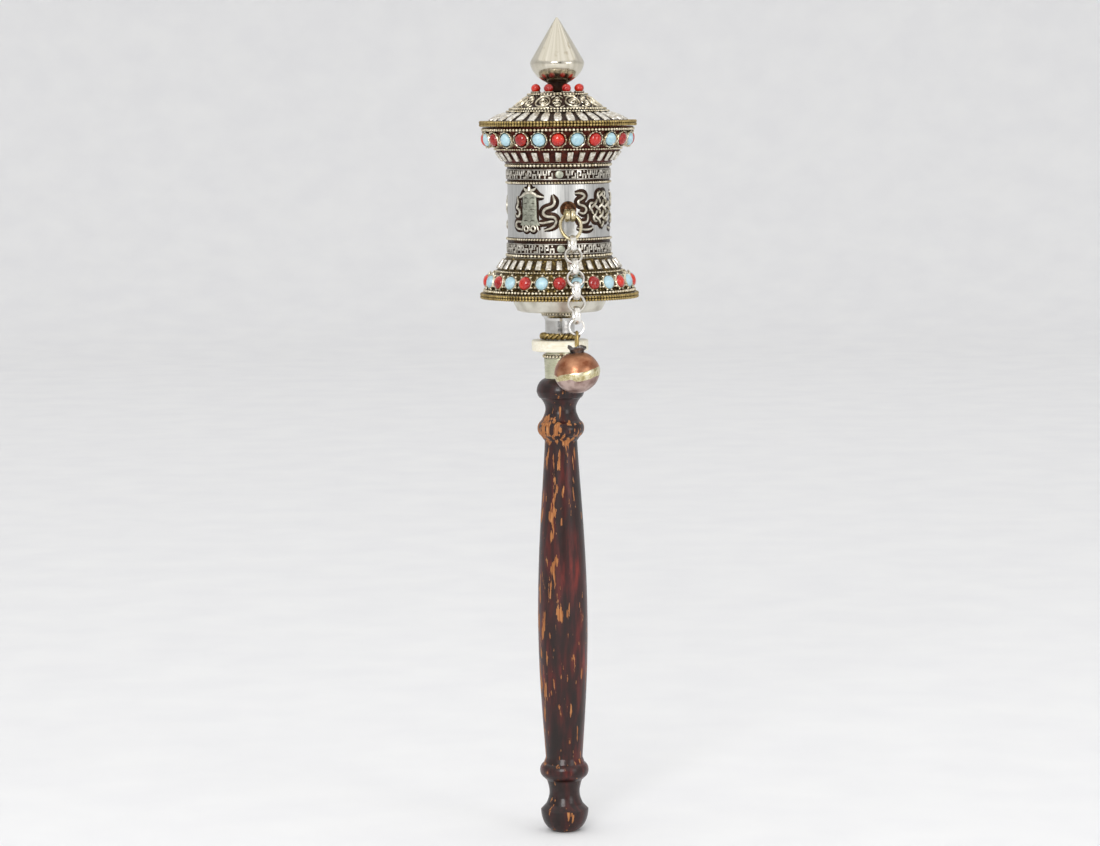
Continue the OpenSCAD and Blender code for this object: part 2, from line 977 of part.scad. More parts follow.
// The outline of half a ball cut back at its pole, where the neck stands
function ball_arc(a, b, shrink = 0) =
    arc(0, 0, ball_d / 2 - shrink, ball_h / 2 - shrink, a, b, 14);

module ball_shell(side) {
    top = side > 0 ? 70 : 90;
    edge = asin(seam_h / ball_h);
    edge_in = asin(seam_h / (ball_h - 2 * ball_wall));
    outer = [for (p = ball_arc(edge, top)) [max(0, p[0]), p[1] * side]];
    inner = [for (p = ball_arc(top, edge_in, ball_wall)) [max(0, p[0]), p[1] * side]];
    hang(10)
        translate([0, 0, ball_mid])
            turned(concat(outer, inner));
}

module ball_upper_half() {
    color("sienna")
        ball_shell(1);
}

module ball_lower_half() {
    color("rosybrown")
        ball_shell(-1);
}

module ball_seam() {
    r = ball_d / 2 * cos(asin(seam_h / ball_h));
    color("goldenrod")
        hang(10)
            translate([0, 0, ball_mid])
                band(r - ball_wall, ball_d / 2, -seam_h / 2 + solder, seam_h - 2 * solder);
}

module ball_neck() {
    cup_z = ball_mid + (ball_h / 2) * sin(70) + 0.05;
    foot_r = ball_d / 2 * cos(70) + 0.1;
    color("dimgray")
        hang(10) {
            turned([
                [0, cup_z - 0.6], [foot_r - 0.5, cup_z - 0.6], [foot_r - 0.5, cup_z], [foot_r, cup_z],
                [neck_r - 0.55, cup_z + 1], [neck_r, neck_top - 0.5], [neck_r - 0.3, neck_top],
                [neck_r - 0.7, neck_top], [neck_r - 0.9, neck_top - 0.6], [neck_r - 1.1, neck_foot + 0.3],
                [0, neck_foot + 0.3]
            ]);
            translate([0, 0, bar_lift])
                rotate([0, 90, 0])
                    cylinder(d = bar_d, h = 2 * (neck_r - 0.7), center = true, $fn = 48);
        }
}

// ---------------------------------------------------------------- nodes

handle();
ferrule();
ferrule_bead_ring();
axle();
bone_washer();
rope_ring();
hub_sleeve();
hub_bead_ring();
lower_bush();
upper_bush();
axle_tube();
prayer_scroll();
bottom_dish();
bottom_plate();
drum_shell();
lower_flange();
upper_flange();
lower_rim_wires();
lower_bead_rings();
upper_bead_rings();
shell_bead_rings();
band_wires();
lower_fret_band();
upper_fret_band();
lower_ribs();
upper_ribs();
lower_bezels();
lower_corals();
lower_turquoises();
upper_bezels();
upper_corals();
upper_turquoises();
banner_relief();
knot_relief();
lotus_relief();
wheel_relief();
chain_lug();
roof_cone();
roof_rim_wires();
roof_ribs();
roof_bead_rings();
roof_scroll_band();
coral_cups();
roof_corals();
finial();
finial_nut();
chain_ring();
chain_link_1();
chain_link_2();
chain_link_3();
chain_link_4();
chain_link_5();
chain_link_6();
chain_link_7();
thin_ring();
jump_ring();
ball_upper_half();
ball_lower_half();
ball_seam();
ball_neck();
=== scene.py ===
"""Hand-held prayer wheel: the visual model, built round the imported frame.

Sizes are in millimetres; a piece is turned to metres when it is finished.
"""
import json
import math

import bmesh
import bpy
from bpy.props import FloatProperty, FloatVectorProperty, IntProperty, PointerProperty
from mathutils import Matrix, Vector, noise


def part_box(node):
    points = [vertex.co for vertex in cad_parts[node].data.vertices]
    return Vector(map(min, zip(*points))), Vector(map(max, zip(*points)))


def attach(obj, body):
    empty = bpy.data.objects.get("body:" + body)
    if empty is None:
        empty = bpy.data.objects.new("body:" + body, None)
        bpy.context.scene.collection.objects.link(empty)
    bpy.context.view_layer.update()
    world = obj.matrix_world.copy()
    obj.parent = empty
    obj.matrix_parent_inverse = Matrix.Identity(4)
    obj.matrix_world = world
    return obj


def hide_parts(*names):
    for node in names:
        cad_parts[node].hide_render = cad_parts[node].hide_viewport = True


bl_info = {
    "name": "Prayer Wheel",
    "version": (1, 0, 0),
    "blender": (4, 5, 0),
    "location": "3D View > Sidebar > Prayer Wheel",
    "description": "Builds a hand-held prayer wheel round its packed frame",
    "category": "Object",
}

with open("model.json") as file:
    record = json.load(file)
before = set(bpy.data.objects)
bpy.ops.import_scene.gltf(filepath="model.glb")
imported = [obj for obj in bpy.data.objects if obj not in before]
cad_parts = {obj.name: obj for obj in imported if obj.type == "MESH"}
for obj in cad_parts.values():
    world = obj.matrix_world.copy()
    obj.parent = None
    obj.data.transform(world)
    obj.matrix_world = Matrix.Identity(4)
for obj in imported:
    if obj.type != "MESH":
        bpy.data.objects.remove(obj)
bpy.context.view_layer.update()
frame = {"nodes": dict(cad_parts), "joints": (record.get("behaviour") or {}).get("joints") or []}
NODES = frame["nodes"]
JOINTS = {joint["name"]: joint for joint in frame["joints"]}
MM = 0.001


# ---------------------------------------------------------------- frame in millimetres

def box(node):
    """Lowest and highest corners of a CAD node, in millimetres."""
    low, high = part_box(node)
    return low / MM, high / MM


def low_z(node):
    return box(node)[0].z


def high_z(node):
    return box(node)[1].z


def mid_z(node):
    low, high = box(node)
    return (low.z + high.z) / 2


def out_r(node):
    """Outer radius of a node that runs all round the rod."""
    return box(node)[1].x


def pivot(joint):
    return Vector(JOINTS[joint]["pos_m"]) / MM


# ---------------------------------------------------------------- shapes

def turned(profile, steps=96, closed=False):
    """A surface turned round the rod from (radius, height) points."""
    bm = bmesh.new()
    verts = [bm.verts.new((r, 0, z)) for r, z in profile]
    ends = verts[1:] + verts[:1] if closed else verts[1:]
    edges = [bm.edges.new(pair) for pair in zip(verts, ends)]
    bmesh.ops.spin(bm, geom=verts + edges, cent=(0, 0, 0), axis=(0, 0, 1),
                   angle=math.tau, steps=steps, use_merge=True)
    bmesh.ops.remove_doubles(bm, verts=bm.verts, dist=1e-4)
    bmesh.ops.recalc_face_normals(bm, faces=bm.faces)
    return bm


def arc(r, z, rr, rz, start, end, steps=8):
    """Points on an oval arc in the turning plane, angles in degrees."""
    turns = [math.radians(start + (end - start) * i / steps) for i in range(steps + 1)]
    return [(r + rr * math.cos(t), z + rz * math.sin(t)) for t in turns]


def bead(size, across=8, up=6):
    """An oval bead of the given full sizes, centred on the origin."""
    bm = bmesh.new()
    scale = Matrix.Diagonal((*(s / 2 for s in size), 1))
    bmesh.ops.create_uvsphere(bm, u_segments=across, v_segments=up, radius=1, matrix=scale)
    return bm


def block(size, edge, steps=1):
    """A cuboid with softened edges, centred on the origin."""
    bm = bmesh.new()
    bmesh.ops.create_cube(bm, size=1, matrix=Matrix.Diagonal((*size, 1)))
    bmesh.ops.bevel(bm, geom=bm.edges, offset=edge, offset_type="OFFSET", segments=steps,
                    profile=0.5, affect="EDGES", material=-1)
    return bm


def moved(bm, matrix):
    bmesh.ops.transform(bm, matrix=matrix, verts=bm.verts)
    return bm


def roughened(bm, amount, grain):
    """Hand-made unevenness: noise of the given grain moves each point by up to the amount."""
    for vert in bm.verts:
        vert.co += noise.noise_vector(vert.co / grain) * amount
    return bm


def joined(*parts):
    """One bmesh that holds all the parts."""
    whole = bmesh.new()
    for part in parts:
        mesh = bpy.data.meshes.new("part")
        part.to_mesh(mesh)
        part.free()
        whole.from_mesh(mesh)
        bpy.data.meshes.remove(mesh)
    return whole


def around(bm, count, first=0.0):
    """Repeats a shape drawn at the front all round the rod."""
    moved(bm, Matrix.Rotation(math.radians(first), 4, "Z"))
    bmesh.ops.spin(bm, geom=bm.verts[:] + bm.edges[:] + bm.faces[:], cent=(0, 0, 0),
                   axis=(0, 0, 1), angle=math.tau * (count - 1) / count, steps=count - 1,
                   use_duplicate=True)
    return bm


def at_front(radius, z, lean=0.0, twist=0.0):
    """Places a shape whose own +Z points outwards and +Y up; lean tips its face upwards."""
    return (Matrix.Translation((0, -radius, z)) @ Matrix.Rotation(math.radians(90 - lean), 4, "X")
            @ Matrix.Rotation(math.radians(twist), 4, "Z"))


def bead_row(count, radius, z, size, slant=0.0, lean=0.0, across=8, up=6):
    """A ring of beads; size is along the ring, up and outwards."""
    one = bead(size, across, up)
    return around(moved(one, at_front(radius, z, lean, slant)), count)


def ribbons(paths, width, rise, closed=False, sides=2, smooth=True):
    """Half-round ribbons along flat (x, y) or (x, y, taper) paths, flattened to the given rise."""
    curve = bpy.data.curves.new("ribbon", "CURVE")
    curve.dimensions = "3D"
    curve.bevel_depth = width / 2
    curve.bevel_resolution = sides
    curve.use_fill_caps = True
    curve.resolution_u = 5
    for path in paths:
        spline = curve.splines.new("NURBS" if smooth else "POLY")
        spline.points.add(len(path) - 1)
        for point, place in zip(spline.points, path):
            point.co = (place[0], place[1], place[3] if len(place) > 3 else 0, 1)
            point.radius = place[2] if len(place) > 2 else 1
        spline.use_cyclic_u = closed
        if smooth:
            spline.order_u = min(4, len(path))
            spline.use_endpoint_u = not closed
    return moved(from_curve(curve), Matrix.Diagonal((1, 1, 2 * rise / width, 1)))


def from_curve(curve):
    """The mesh of a curve, as a bmesh."""
    holder = bpy.data.objects.new("curve", curve)
    bpy.context.scene.collection.objects.link(holder)
    depsgraph = bpy.context.evaluated_depsgraph_get()
    mesh = bpy.data.meshes.new_from_object(holder.evaluated_get(depsgraph))
    bm = bmesh.new()
    bm.from_mesh(mesh)
    bpy.data.objects.remove(holder)
    bpy.data.curves.remove(curve)
    bpy.data.meshes.remove(mesh)
    bmesh.ops.remove_doubles(bm, verts=bm.verts, dist=1e-4)
    bmesh.ops.recalc_face_normals(bm, faces=bm.faces)
    return bm


def spiral(x, y, r_out, r_in, start, turns, steps=14, taper=0.6):
    """Points that wind inwards about (x, y); a negative number of turns winds the other way."""
    points = []
    for i in range(steps + 1):
        t = i / steps
        a = math.radians(start) + math.tau * turns * t
        r = r_out + (r_in - r_out) * t
        points.append((x + r * math.cos(a), y + r * math.sin(a), 1 - (1 - taper) * t))
    return points


def mirrored(paths):
    """The paths, and the same paths the other way round."""
    return paths + [[(-p[0], *p[1:]) for p in path] for path in paths]


def oval(x, y, half_w, half_h, steps=10):
    return [(x + half_w * math.cos(math.tau * i / steps), y + half_h * math.sin(math.tau * i / steps))
            for i in range(steps)]


def on_drum(bm, radius, turn, z):
    """Bends a flat relief, x across, y up and z outwards, round the drum at a turn in degrees."""
    for vert in bm.verts:
        a = math.radians(turn) + vert.co.x / radius
        r = radius + vert.co.z
        vert.co = (r * math.sin(a), -r * math.cos(a), z + vert.co.y)
    return bm


def on_cone(bm, radius, z, fall, turn=0.0):
    """Bends a flat relief round a cone that falls outwards at an angle in degrees."""
    slope = math.radians(fall)
    for vert in bm.verts:
        a = math.radians(turn) + vert.co.x / radius
        r = radius - vert.co.y * math.cos(slope) + vert.co.z * math.sin(slope)
        up = z + vert.co.y * math.sin(slope) + vert.co.z * math.cos(slope)
        vert.co = (r * math.sin(a), -r * math.cos(a), up)
    return bm


def piece(name, bm, material, body, nodes=(), flat_angle=40):
    """Turns a bmesh in millimetres into a finished piece that rides on a body."""
    bmesh.ops.scale(bm, vec=(MM, MM, MM), verts=bm.verts)
    mesh = bpy.data.meshes.new(name)
    bm.to_mesh(mesh)
    bm.free()
    mesh.shade_smooth()
    mesh.set_sharp_from_angle(angle=math.radians(flat_angle))
    mesh.materials.append(material)
    obj = bpy.data.objects.new(name, mesh)
    bpy.context.scene.collection.objects.link(obj)
    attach(obj, body)
    if nodes:
        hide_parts(*nodes)
    return obj


def dress(material, *nodes):
    """Gives CAD nodes their finish."""
    for node in nodes:
        mesh = NODES[node].data
        mesh.materials.clear()
        mesh.materials.append(material)


# ---------------------------------------------------------------- finishes

def colour(code):
    """An sRGB hex code as the linear colour that a shader takes."""
    parts = [int(code[i:i + 2], 16) / 255 for i in (1, 3, 5)]
    return (*(c / 12.92 if c <= 0.04045 else ((c + 0.055) / 1.055) ** 2.4 for c in parts), 1.0)


def feed(node, inputs):
    """Sets a node's sockets; an input is a value, a hex code, or the socket or node that feeds it."""
    for key, value in inputs.items():
        if isinstance(value, bpy.types.Node):
            value = value.outputs[0]
        if isinstance(value, bpy.types.NodeSocket):
            node.id_data.links.new(value, node.inputs[key])
        else:
            node.inputs[key].default_value = colour(value) if isinstance(value, str) else value


def add(tree, kind, inputs=(), stops=(), **settings):
    """Adds a node with its settings; inputs go by socket, or in the sockets' own order."""
    node = tree.nodes.new("ShaderNode" + kind)
    for key, value in settings.items():
        setattr(node, key, value)
    feed(node, inputs if isinstance(inputs, dict) else dict(enumerate(inputs)))
    for place in range(2, len(stops)):
        node.color_ramp.elements.new(place / len(stops))
    for i, (place, code) in enumerate(stops):
        node.color_ramp.elements[i].position = place
        node.color_ramp.elements[i].color = colour(code) if isinstance(code, str) else code
    return node


def finish(name, **values):
    """A new material with its shader; values are the shader's plain socket values."""
    material = bpy.data.materials.new(name)
    material.use_nodes = True
    tree = material.node_tree
    tree.nodes.clear()
    shader = add(tree, "BsdfPrincipled", {key.replace("_", " "): v for key, v in values.items()})
    add(tree, "OutputMaterial", {"Surface": shader.outputs[0]})
    place = add(tree, "TexCoord").outputs["Object"]
    return material, tree, shader, place


def per_mm(size):
    """The scale of a pattern whose features are this many millimetres across."""
    return 1 / (size * MM)


def grain(tree, place, size, detail=3.0, stretch=(1, 1, 1), kind="TexNoise", **inputs):
    """A pattern with features of a size in millimetres, drawn out along an axis by the stretch."""
    mapped = add(tree, "Mapping", {"Vector": place, "Scale": tuple(1 / s for s in stretch)})
    if kind == "TexNoise":
        inputs["Detail"] = detail
    return add(tree, kind, {"Vector": mapped, "Scale": per_mm(size), **inputs}).outputs[0]


def stained(tree, base, stain, pattern, low, high, most=1.0):
    """The base colour, with a stain that comes in as the pattern passes from low to high."""
    share = add(tree, "MapRange", (pattern, low, high, 0, most))
    return add(tree, "Mix", {0: share, 6: base, 7: stain}, data_type="RGBA").outputs[2]


def surfaced(tree, shader, base, pattern, smoothest, roughest, height=None, depth_mm=0.0, strength=0.0):
    """Gives a shader its colour, a roughness that follows a pattern, and a relief of a real depth."""
    feed(shader, {"Base Color": base,
                  "Roughness": add(tree, "MapRange", (pattern, 0.3, 0.7, smoothest, roughest))})
    if height:
        relief = {"Height": height, "Distance": depth_mm * MM, "Strength": strength}
        feed(shader, {"Normal": add(tree, "Bump", relief)})


def cornered(tree, base, oxide, reach_mm, low, high):
    """The base colour, drawn towards a dark colour in every corner, out to its reach: oxide in the worked
    ornament, painted shade on the chain's links.
    """
    open_face = add(tree, "AmbientOcclusion", {"Distance": reach_mm * MM}, samples=6)
    return stained(tree, oxide, base, open_face.outputs["AO"], low, high)


def oxidised(name, bright, worn, dark, rough, reach=1.1, mottle=2.2):
    """Old worked metal: bright where hands and wear reach, dark oxide in every corner."""
    material, tree, shader, place = finish(name, Metallic=1.0)
    rubbed = stained(tree, bright, worn, grain(tree, place, mottle), 0.35, 0.68)
    base = cornered(tree, rubbed, dark, reach, 0.4, 0.86)
    fine = grain(tree, place, 0.35, 2.0)
    surfaced(tree, shader, base, fine, rough - 0.07, rough + 0.13, fine, 0.05, 0.5)
    return material


def antique_silver():
    """Cast white-metal ornament, oxidised and rubbed back: warm grey highs, brown-black lows."""
    return oxidised("Oxidised white-metal ornament", "#CFC7B4", "#9E937B", "#24150C", 0.3)


def rib_silver():
    """Stamped silver blocks, rubbed brighter than the ornament round them."""
    return oxidised("Rubbed stamped silver", "#EFEBE1", "#AEA492", "#3A241A", 0.27, 0.9, mottle=1.0)


def fret_silver():
    """Chased bands: greyer silver, with oxide close against each bar."""
    return oxidised("Chased oxidised silver", "#DDD8CD", "#A09A8D", "#20140E", 0.34, 0.4, mottle=1.4)


def twist_brass():
    """Twisted brass wire gone old gold, with dark grease between the turns."""
    return oxidised("Old twisted brass wire", "#B8A169", "#806B3F", "#24160B", 0.32, 0.8)


def pale_bead():
    """Beaded wire of pale gold-washed silver."""
    return oxidised("Pale gold-washed bead wire", "#EAE1CA", "#B5A685", "#26170D", 0.26, 0.7)


def relief_silver():
    """The raised symbols: soft grey-green silver, lighter along their crests."""
    return oxidised("Chased relief silver", "#E0DBCB", "#ADA695", "#241710", 0.32, 0.6, mottle=1.2)


def cloth_silver():
    """The banner's cloth: duller grey-green silver."""
    return oxidised("Dull grey-green silver", "#B0B2A2", "#85877A", "#241710", 0.42, 0.5, mottle=1.0)


def filigree_silver():
    """Fine soldered wire, rubbed bright along its crests."""
    return oxidised("Soldered filigree wire", "#EDE5D2", "#BDB297", "#2A1A10", 0.3, 0.3, mottle=1.5)


def patina(name, ground, glow, glint, share=0.62, rough=0.42):
    """Dark baked-on ground with rubbed spots where the metal under it shows."""
    material, tree, shader, place = finish(name, Metallic=0.75)
    cloud = grain(tree, place, 2.5, 4.0)
    speck = grain(tree, place, 0.7, 2.0)
    baked = stained(tree, ground, glow, cloud, 0.35, 0.7)
    base = stained(tree, baked, glint, speck, share, share + 0.08)
    surfaced(tree, shader, base, cloud, rough - 0.1, rough + 0.15, speck, 0.08, 0.6)
    return material


def red_ground():
    """Copper-red baked patina behind the upper stones."""
    return patina("Red-brown baked patina", settings("drum").upper_ground, "#5A2418", "#94604A", 0.66)


def olive_ground():
    """Brassy olive patina behind the lower stones."""
    return patina("Olive-brown brass patina", settings("drum").lower_ground, "#5C4B24", "#A88F50", 0.6)


def brown_ground():
    """Patina of the roof, brown-black; the same colour is painted shadow in the outlines round the symbols
    and painted shade in the finial's neck.
    """
    return patina("Brown-black patina and painted shade", "#1F120B", "#3B2416", "#6E5237", 0.68)


def drum_silver():
    """Sheet silver rubbed up and down with fine grit: soft grey streaks along the rod."""
    material, tree, shader, place = finish("Brushed sheet silver", Metallic=1.0)
    # Real grit marks are too fine to show, so the streaks are drawn 0.25 mm wide.
    streak = grain(tree, place, 0.25, 3.0, stretch=(1, 1, 60))
    cloud = grain(tree, place, 6.0, 3.0, stretch=(1, 1, 2))
    base = add(tree, "ValToRGB", {"Fac": streak}, ((0.25, "#A09F9D"), (0.5, "#BFBFBC"), (0.75, "#D6D5D1")))
    base = stained(tree, base, "#8D7F6E", cloud, 0.55, 0.78, 0.55)
    surfaced(tree, shader, base, streak, 0.3, 0.46, streak, 0.03, 0.35)
    return material


def spun_silver(name, light, deep, rough, band_mm):
    """Silver spun on a lathe: faint rings round the rod and slow blotches of tarnish."""
    material, tree, shader, place = finish(name, Metallic=1.0)
    rings = grain(tree, place, band_mm, 2.0, stretch=(40, 40, 1))
    base = stained(tree, light, deep, grain(tree, place, 5.0), 0.35, 0.7)
    surfaced(tree, shader, base, rings, rough - 0.05, rough + 0.08, rings, 0.03, 0.3)
    return material


def dish_silver():
    """Creamy matt silver of the dish and of the base plate."""
    return spun_silver("Spun creamy silver", "#DAD6CA", "#B5AFA0", 0.36, 0.5)


def hub_silver():
    """Bright tube silver, close to a mirror."""
    return spun_silver("Bright drawn tube silver", "#DADAD8", "#B4B0AA", 0.16, 0.4)


def ferrule_silver():
    """Ferrule silver with a yellow-green cast of old lacquer."""
    return spun_silver("Lacquered ferrule silver", "#CFCDB4", "#A6A888", 0.27, 0.4)


def finial_silver():
    """Polished nickel silver: warm and nearly a mirror, with faint strokes from tip to shoulder."""
    material, tree, shader, place = finish("Polished nickel silver", Metallic=1.0)
    across, along, up = add(tree, "SeparateXYZ", {"Vector": place}).outputs
    turn = add(tree, "Math", (across, along), operation="ARCTAN2")
    # The strokes run straight up the cone: 9 degrees to a stroke, 30 mm long.
    lines = add(tree, "CombineXYZ", {"X": turn, "Z": up})
    stroke = add(tree, "Mapping", {"Vector": lines, "Scale": (6.4, 1, per_mm(30))})
    streak = add(tree, "TexNoise", {"Vector": stroke, "Scale": 1.0, "Detail": 5.0})
    base = add(tree, "ValToRGB", {"Fac": streak}, ((0.3, "#C3BCAA"), (0.7, "#DED8C9")))
    base = stained(tree, base, "#8F7D5C", grain(tree, place, 3.0), 0.62, 0.8, 0.5)
    surfaced(tree, shader, base, streak, 0.13, 0.26)
    return material


def bone():
    """Polished bone: ivory, with faint lengthwise growth lines and tiny pores."""
    material, tree, shader, place = finish("Polished bone", IOR=1.54, Subsurface_Weight=0.12,
                                           Subsurface_Scale=0.0015, Subsurface_Radius=(1.0, 0.8, 0.6))
    lines = grain(tree, place, 0.6, 3.0, stretch=(14, 1, 1))
    pores = grain(tree, place, 0.3, 1.0)
    base = add(tree, "ValToRGB", {"Fac": lines}, ((0.3, "#E2DAC0"), (0.6, "#EFEAD9"), (0.8, "#F4F1E5")))
    base = stained(tree, base, "#BDAE86", pores, 0.7, 0.78, 0.5)
    surfaced(tree, shader, base, lines, 0.3, 0.42, pores, 0.02, 0.3)
    return material


def worn_lacquer():
    """Hardwood under dark lacquer: glossy red-black film, chipped along the grain to tan wood."""
    material, tree, shader, place = finish("Worn lacquered hardwood", IOR=1.42, Coat_Roughness=0.14,
                                           Specular_IOR_Level=0.35)
    # The film is thin and see-through, so the red of the wood glows in long streaks.
    figure = grain(tree, place, 1.8, 6.0, stretch=(1, 1, 6))
    cloud = grain(tree, place, 9.0, 3.0, stretch=(1, 1, 3))
    film = add(tree, "ValToRGB", {"Fac": figure},
               ((0.3, "#1D0C0A"), (0.48, "#391210"), (0.62, "#5C1B15"), (0.8, "#7A271B")))
    cloudy = add(tree, "MapRange", (cloud, 0.35, 0.6, 0, 1))
    ends = add(tree, "Mix", {0: cloudy, 6: "#1B0F0C", 7: film}, data_type="RGBA").outputs[2]
    across, _, height = add(tree, "SeparateXYZ", {"Vector": place}).outputs
    # The lacquer is thickest, and darkest, on the turned ends outside the grip.
    handle_top = box("handle")[1].z * MM
    top = add(tree, "MapRange", (height, handle_top * 0.72, handle_top * 0.86, 0, 0.75))
    foot = add(tree, "MapRange", (height, 28 * MM, 12 * MM, 0, 0.6))
    dark = add(tree, "Math", (top, foot), operation="MAXIMUM")
    film = add(tree, "Mix", {0: dark, 6: ends, 7: settings("handle").lacquer}, data_type="RGBA").outputs[2]
    # Chips are about 1 mm wide and run with the grain; wood fibres fray their ends.
    worn = grain(tree, place, 1.5, 5.0, stretch=(1, 1, 5.5))
    fray = grain(tree, place, 0.5, 3.0, stretch=(1, 1, 7))
    patch = grain(tree, place, 11.0, 2.0, stretch=(1, 1, 2.2))
    # The holder's thumb has worn one side, the collar above the grip and the grip's foot.
    collar = 142.5 * MM
    off_collar = add(tree, "Math", (height, collar), operation="SUBTRACT")
    from_collar = add(tree, "Math", (off_collar,), operation="ABSOLUTE")
    for where, low, high, at_low, at_high in (
            (patch, 0.3, 0.7, -0.07, 0.07), (fray, 0, 1, -0.06, 0.06),
            (across, -7 * MM, 7 * MM, 0.045, -0.02), (from_collar, 2.5 * MM, 5.5 * MM, 0.1, 0),
            (height, 50 * MM, 30 * MM, 0, 0.02), (height, 151 * MM, 154 * MM, 0, -0.09),
            (height, 23 * MM, 19 * MM, 0, -0.045)):
        more = add(tree, "MapRange", (where, low, high, at_low, at_high))
        worn = add(tree, "Math", (worn, more), operation="ADD")
    bare = add(tree, "MapRange", (worn, 0.632, 0.646, 0, 1))
    fibre = grain(tree, place, 0.45, 4.0, stretch=(1, 1, 18))
    wood = add(tree, "ValToRGB", {"Fac": fibre},
               ((0.25, "#6E3D20"), (0.5, settings("handle").wood), (0.75, "#C08A59")))
    film_height = add(tree, "MapRange", (bare, 0, 1, 1, 0))
    fray_height = add(tree, "MapRange", (fray, 0, 1, 0, 0.25))
    relief = add(tree, "Math", (film_height, fray_height), operation="ADD")
    feed(shader, {
        "Base Color": add(tree, "Mix", {0: bare, 6: film, 7: wood}, data_type="RGBA").outputs[2],
        "Roughness": add(tree, "MapRange", (bare, 0, 1, 0.4, 0.7)),
        "Coat Weight": add(tree, "MapRange", (bare, 0, 1, 0.3, 0.0)),
        "Normal": add(tree, "Bump", {"Height": relief, "Distance": 0.16 * MM, "Strength": 0.7})})
    return material


def coral():
    """Dyed coral cabochons: glossy scarlet, each a little lighter or deeper, with faint veins."""
    material, tree, shader, place = finish("Polished dyed coral", IOR=1.5, Coat_Weight=0.6,
                                           Coat_Roughness=0.04, Specular_IOR_Level=0.35)
    vein = grain(tree, place, 0.9)
    base = add(tree, "ValToRGB", {"Fac": grain(tree, place, 5.5, 0.0)},
               ((0.35, "#8C0806"), (0.5, settings("stones").coral), (0.65, "#C2240D")))
    base = stained(tree, base, "#CB3A18", vein, 0.5, 0.72, 0.55)
    surfaced(tree, shader, base, vein, 0.16, 0.3)
    return material


def turquoise():
    """Waxed pale turquoise: soft sky blue with cloudy spots and a few brown matrix veins."""
    material, tree, shader, place = finish("Waxed pale turquoise", IOR=1.6, Coat_Weight=0.25,
                                           Coat_Roughness=0.2, Subsurface_Weight=0.1,
                                           Subsurface_Scale=0.001)
    cloud = grain(tree, place, 1.3)
    matrix = grain(tree, place, 1.8, 4.0, Distortion=1.5)
    base = add(tree, "ValToRGB", {"Fac": grain(tree, place, 5.5, 1.0)},
               ((0.35, "#8DB2BD"), (0.5, settings("stones").turquoise), (0.65, "#AECCD4")))
    base = stained(tree, base, "#BCD9E1", cloud, 0.4, 0.7, 0.6)
    base = stained(tree, base, "#6B7A5A", matrix, 0.69, 0.72, 0.7)
    surfaced(tree, shader, base, cloud, 0.3, 0.45)
    return material


def handled_metal(name, light, deep, rough, mottle, dent_mm, metallic=1.0, reach=0.7, dark=None):
    """Metal that is handled and knocked: slow colour drift, fine scratches and shallow dents."""
    material, tree, shader, place = finish(name, Metallic=metallic)
    cloud = grain(tree, place, mottle)
    fine = grain(tree, place, 0.4)
    base = stained(tree, light, deep, cloud, 0.36, 0.66)
    if dark:
        base = cornered(tree, base, dark, reach, 0.3, 0.75)
    knocked = add(tree, "Math", (cloud, fine), operation="ADD")
    surfaced(tree, shader, base, fine, rough - 0.06, rough + 0.12, knocked, dent_mm, 0.5)
    return material


def chain_silver():
    """Links rubbed bright by the drum and by each other; their dark colour is painted shade where links and
    rings close in on each other.
    """
    return handled_metal("Rubbed chain silver with painted shade", "#F0EEEA", "#D4D0C6", 0.28, 3.5, 0.01, reach=0.3,
                         dark="#9C9078")


def ring_wire_metal():
    """Warm pale wire of the large ring."""
    return handled_metal("Warm nickel wire", "#DACFB2", "#A8996F", 0.25, 2.6, 0.015, dark="#42321D")


def lug_copper():
    """Old copper rivet, nearly brown."""
    return handled_metal("Old copper rivet", "#6B4A32", "#352318", 0.34, 1.4, 0.03, dark="#1A100B")


def copper_cap():
    """Upper half of the weight: orange-brown copper with a heat-tinted sheen."""
    return handled_metal("Heat-tinted copper", settings("weight").copper, "#87523A", 0.36, 4.5,
                         dent_mm=0.04)


def rose_shell():
    """Lower half of the weight: greyed pink copper."""
    return handled_metal("Greyed rose copper", settings("weight").rose, "#8A6E66", 0.34, 3.5, dent_mm=0.04)


def beaten_brass():
    """Brass seam, hammered flat over the joint between the halves."""
    material, tree, shader, place = finish("Hammered brass seam", Metallic=1.0)
    dents = grain(tree, place, 3.0, kind="TexVoronoi", stretch=(1, 1, 0.6))
    cloud = grain(tree, place, 1.4)
    base = add(tree, "ValToRGB", {"Fac": cloud}, ((0.3, "#AD9F70"), (0.5, "#D3C89E"), (0.7, "#E9E2C8")))
    surfaced(tree, shader, base, cloud, 0.2, 0.36, dents, 0.1, 0.4)
    return material


def lead_collar():
    """Dark lead crimped by hand."""
    return handled_metal("Crimped dark lead", "#807B78", "#474342", 0.36, 1.8, dent_mm=0.08, metallic=0.9)


def rod_steel():
    """Drawn steel rod."""
    return spun_silver("Drawn steel rod", "#9A9A9C", "#77767A", 0.3, 0.6)


def bush_brass():
    """Turned brass of the bushes, the tube and the nut."""
    return spun_silver("Turned brass", "#C2A35C", "#94783C", 0.3, 0.5)


def scroll_paper():
    """Block-cut paper wound in many turns, seen only when the roof is off."""
    material, tree, shader, place = finish("Wound scroll paper", IOR=1.45, Roughness=0.85)
    turns = add(tree, "TexWave", {"Vector": place, "Scale": per_mm(0.9) / 20, "Distortion": 0.4},
                wave_type="RINGS", rings_direction="Z").outputs[1]
    base = add(tree, "ValToRGB", {"Fac": turns}, ((0.2, "#A98F62"), (0.6, "#D9C69A"), (1.0, "#E8DAB6")))
    base = stained(tree, base, "#B99F72", grain(tree, place, 0.8, 4.0), 0.5, 0.8, 0.5)
    relief = add(tree, "Bump", {"Height": turns, "Distance": 0.1 * MM, "Strength": 0.8})
    feed(shader, {"Base Color": base, "Normal": relief})
    return material


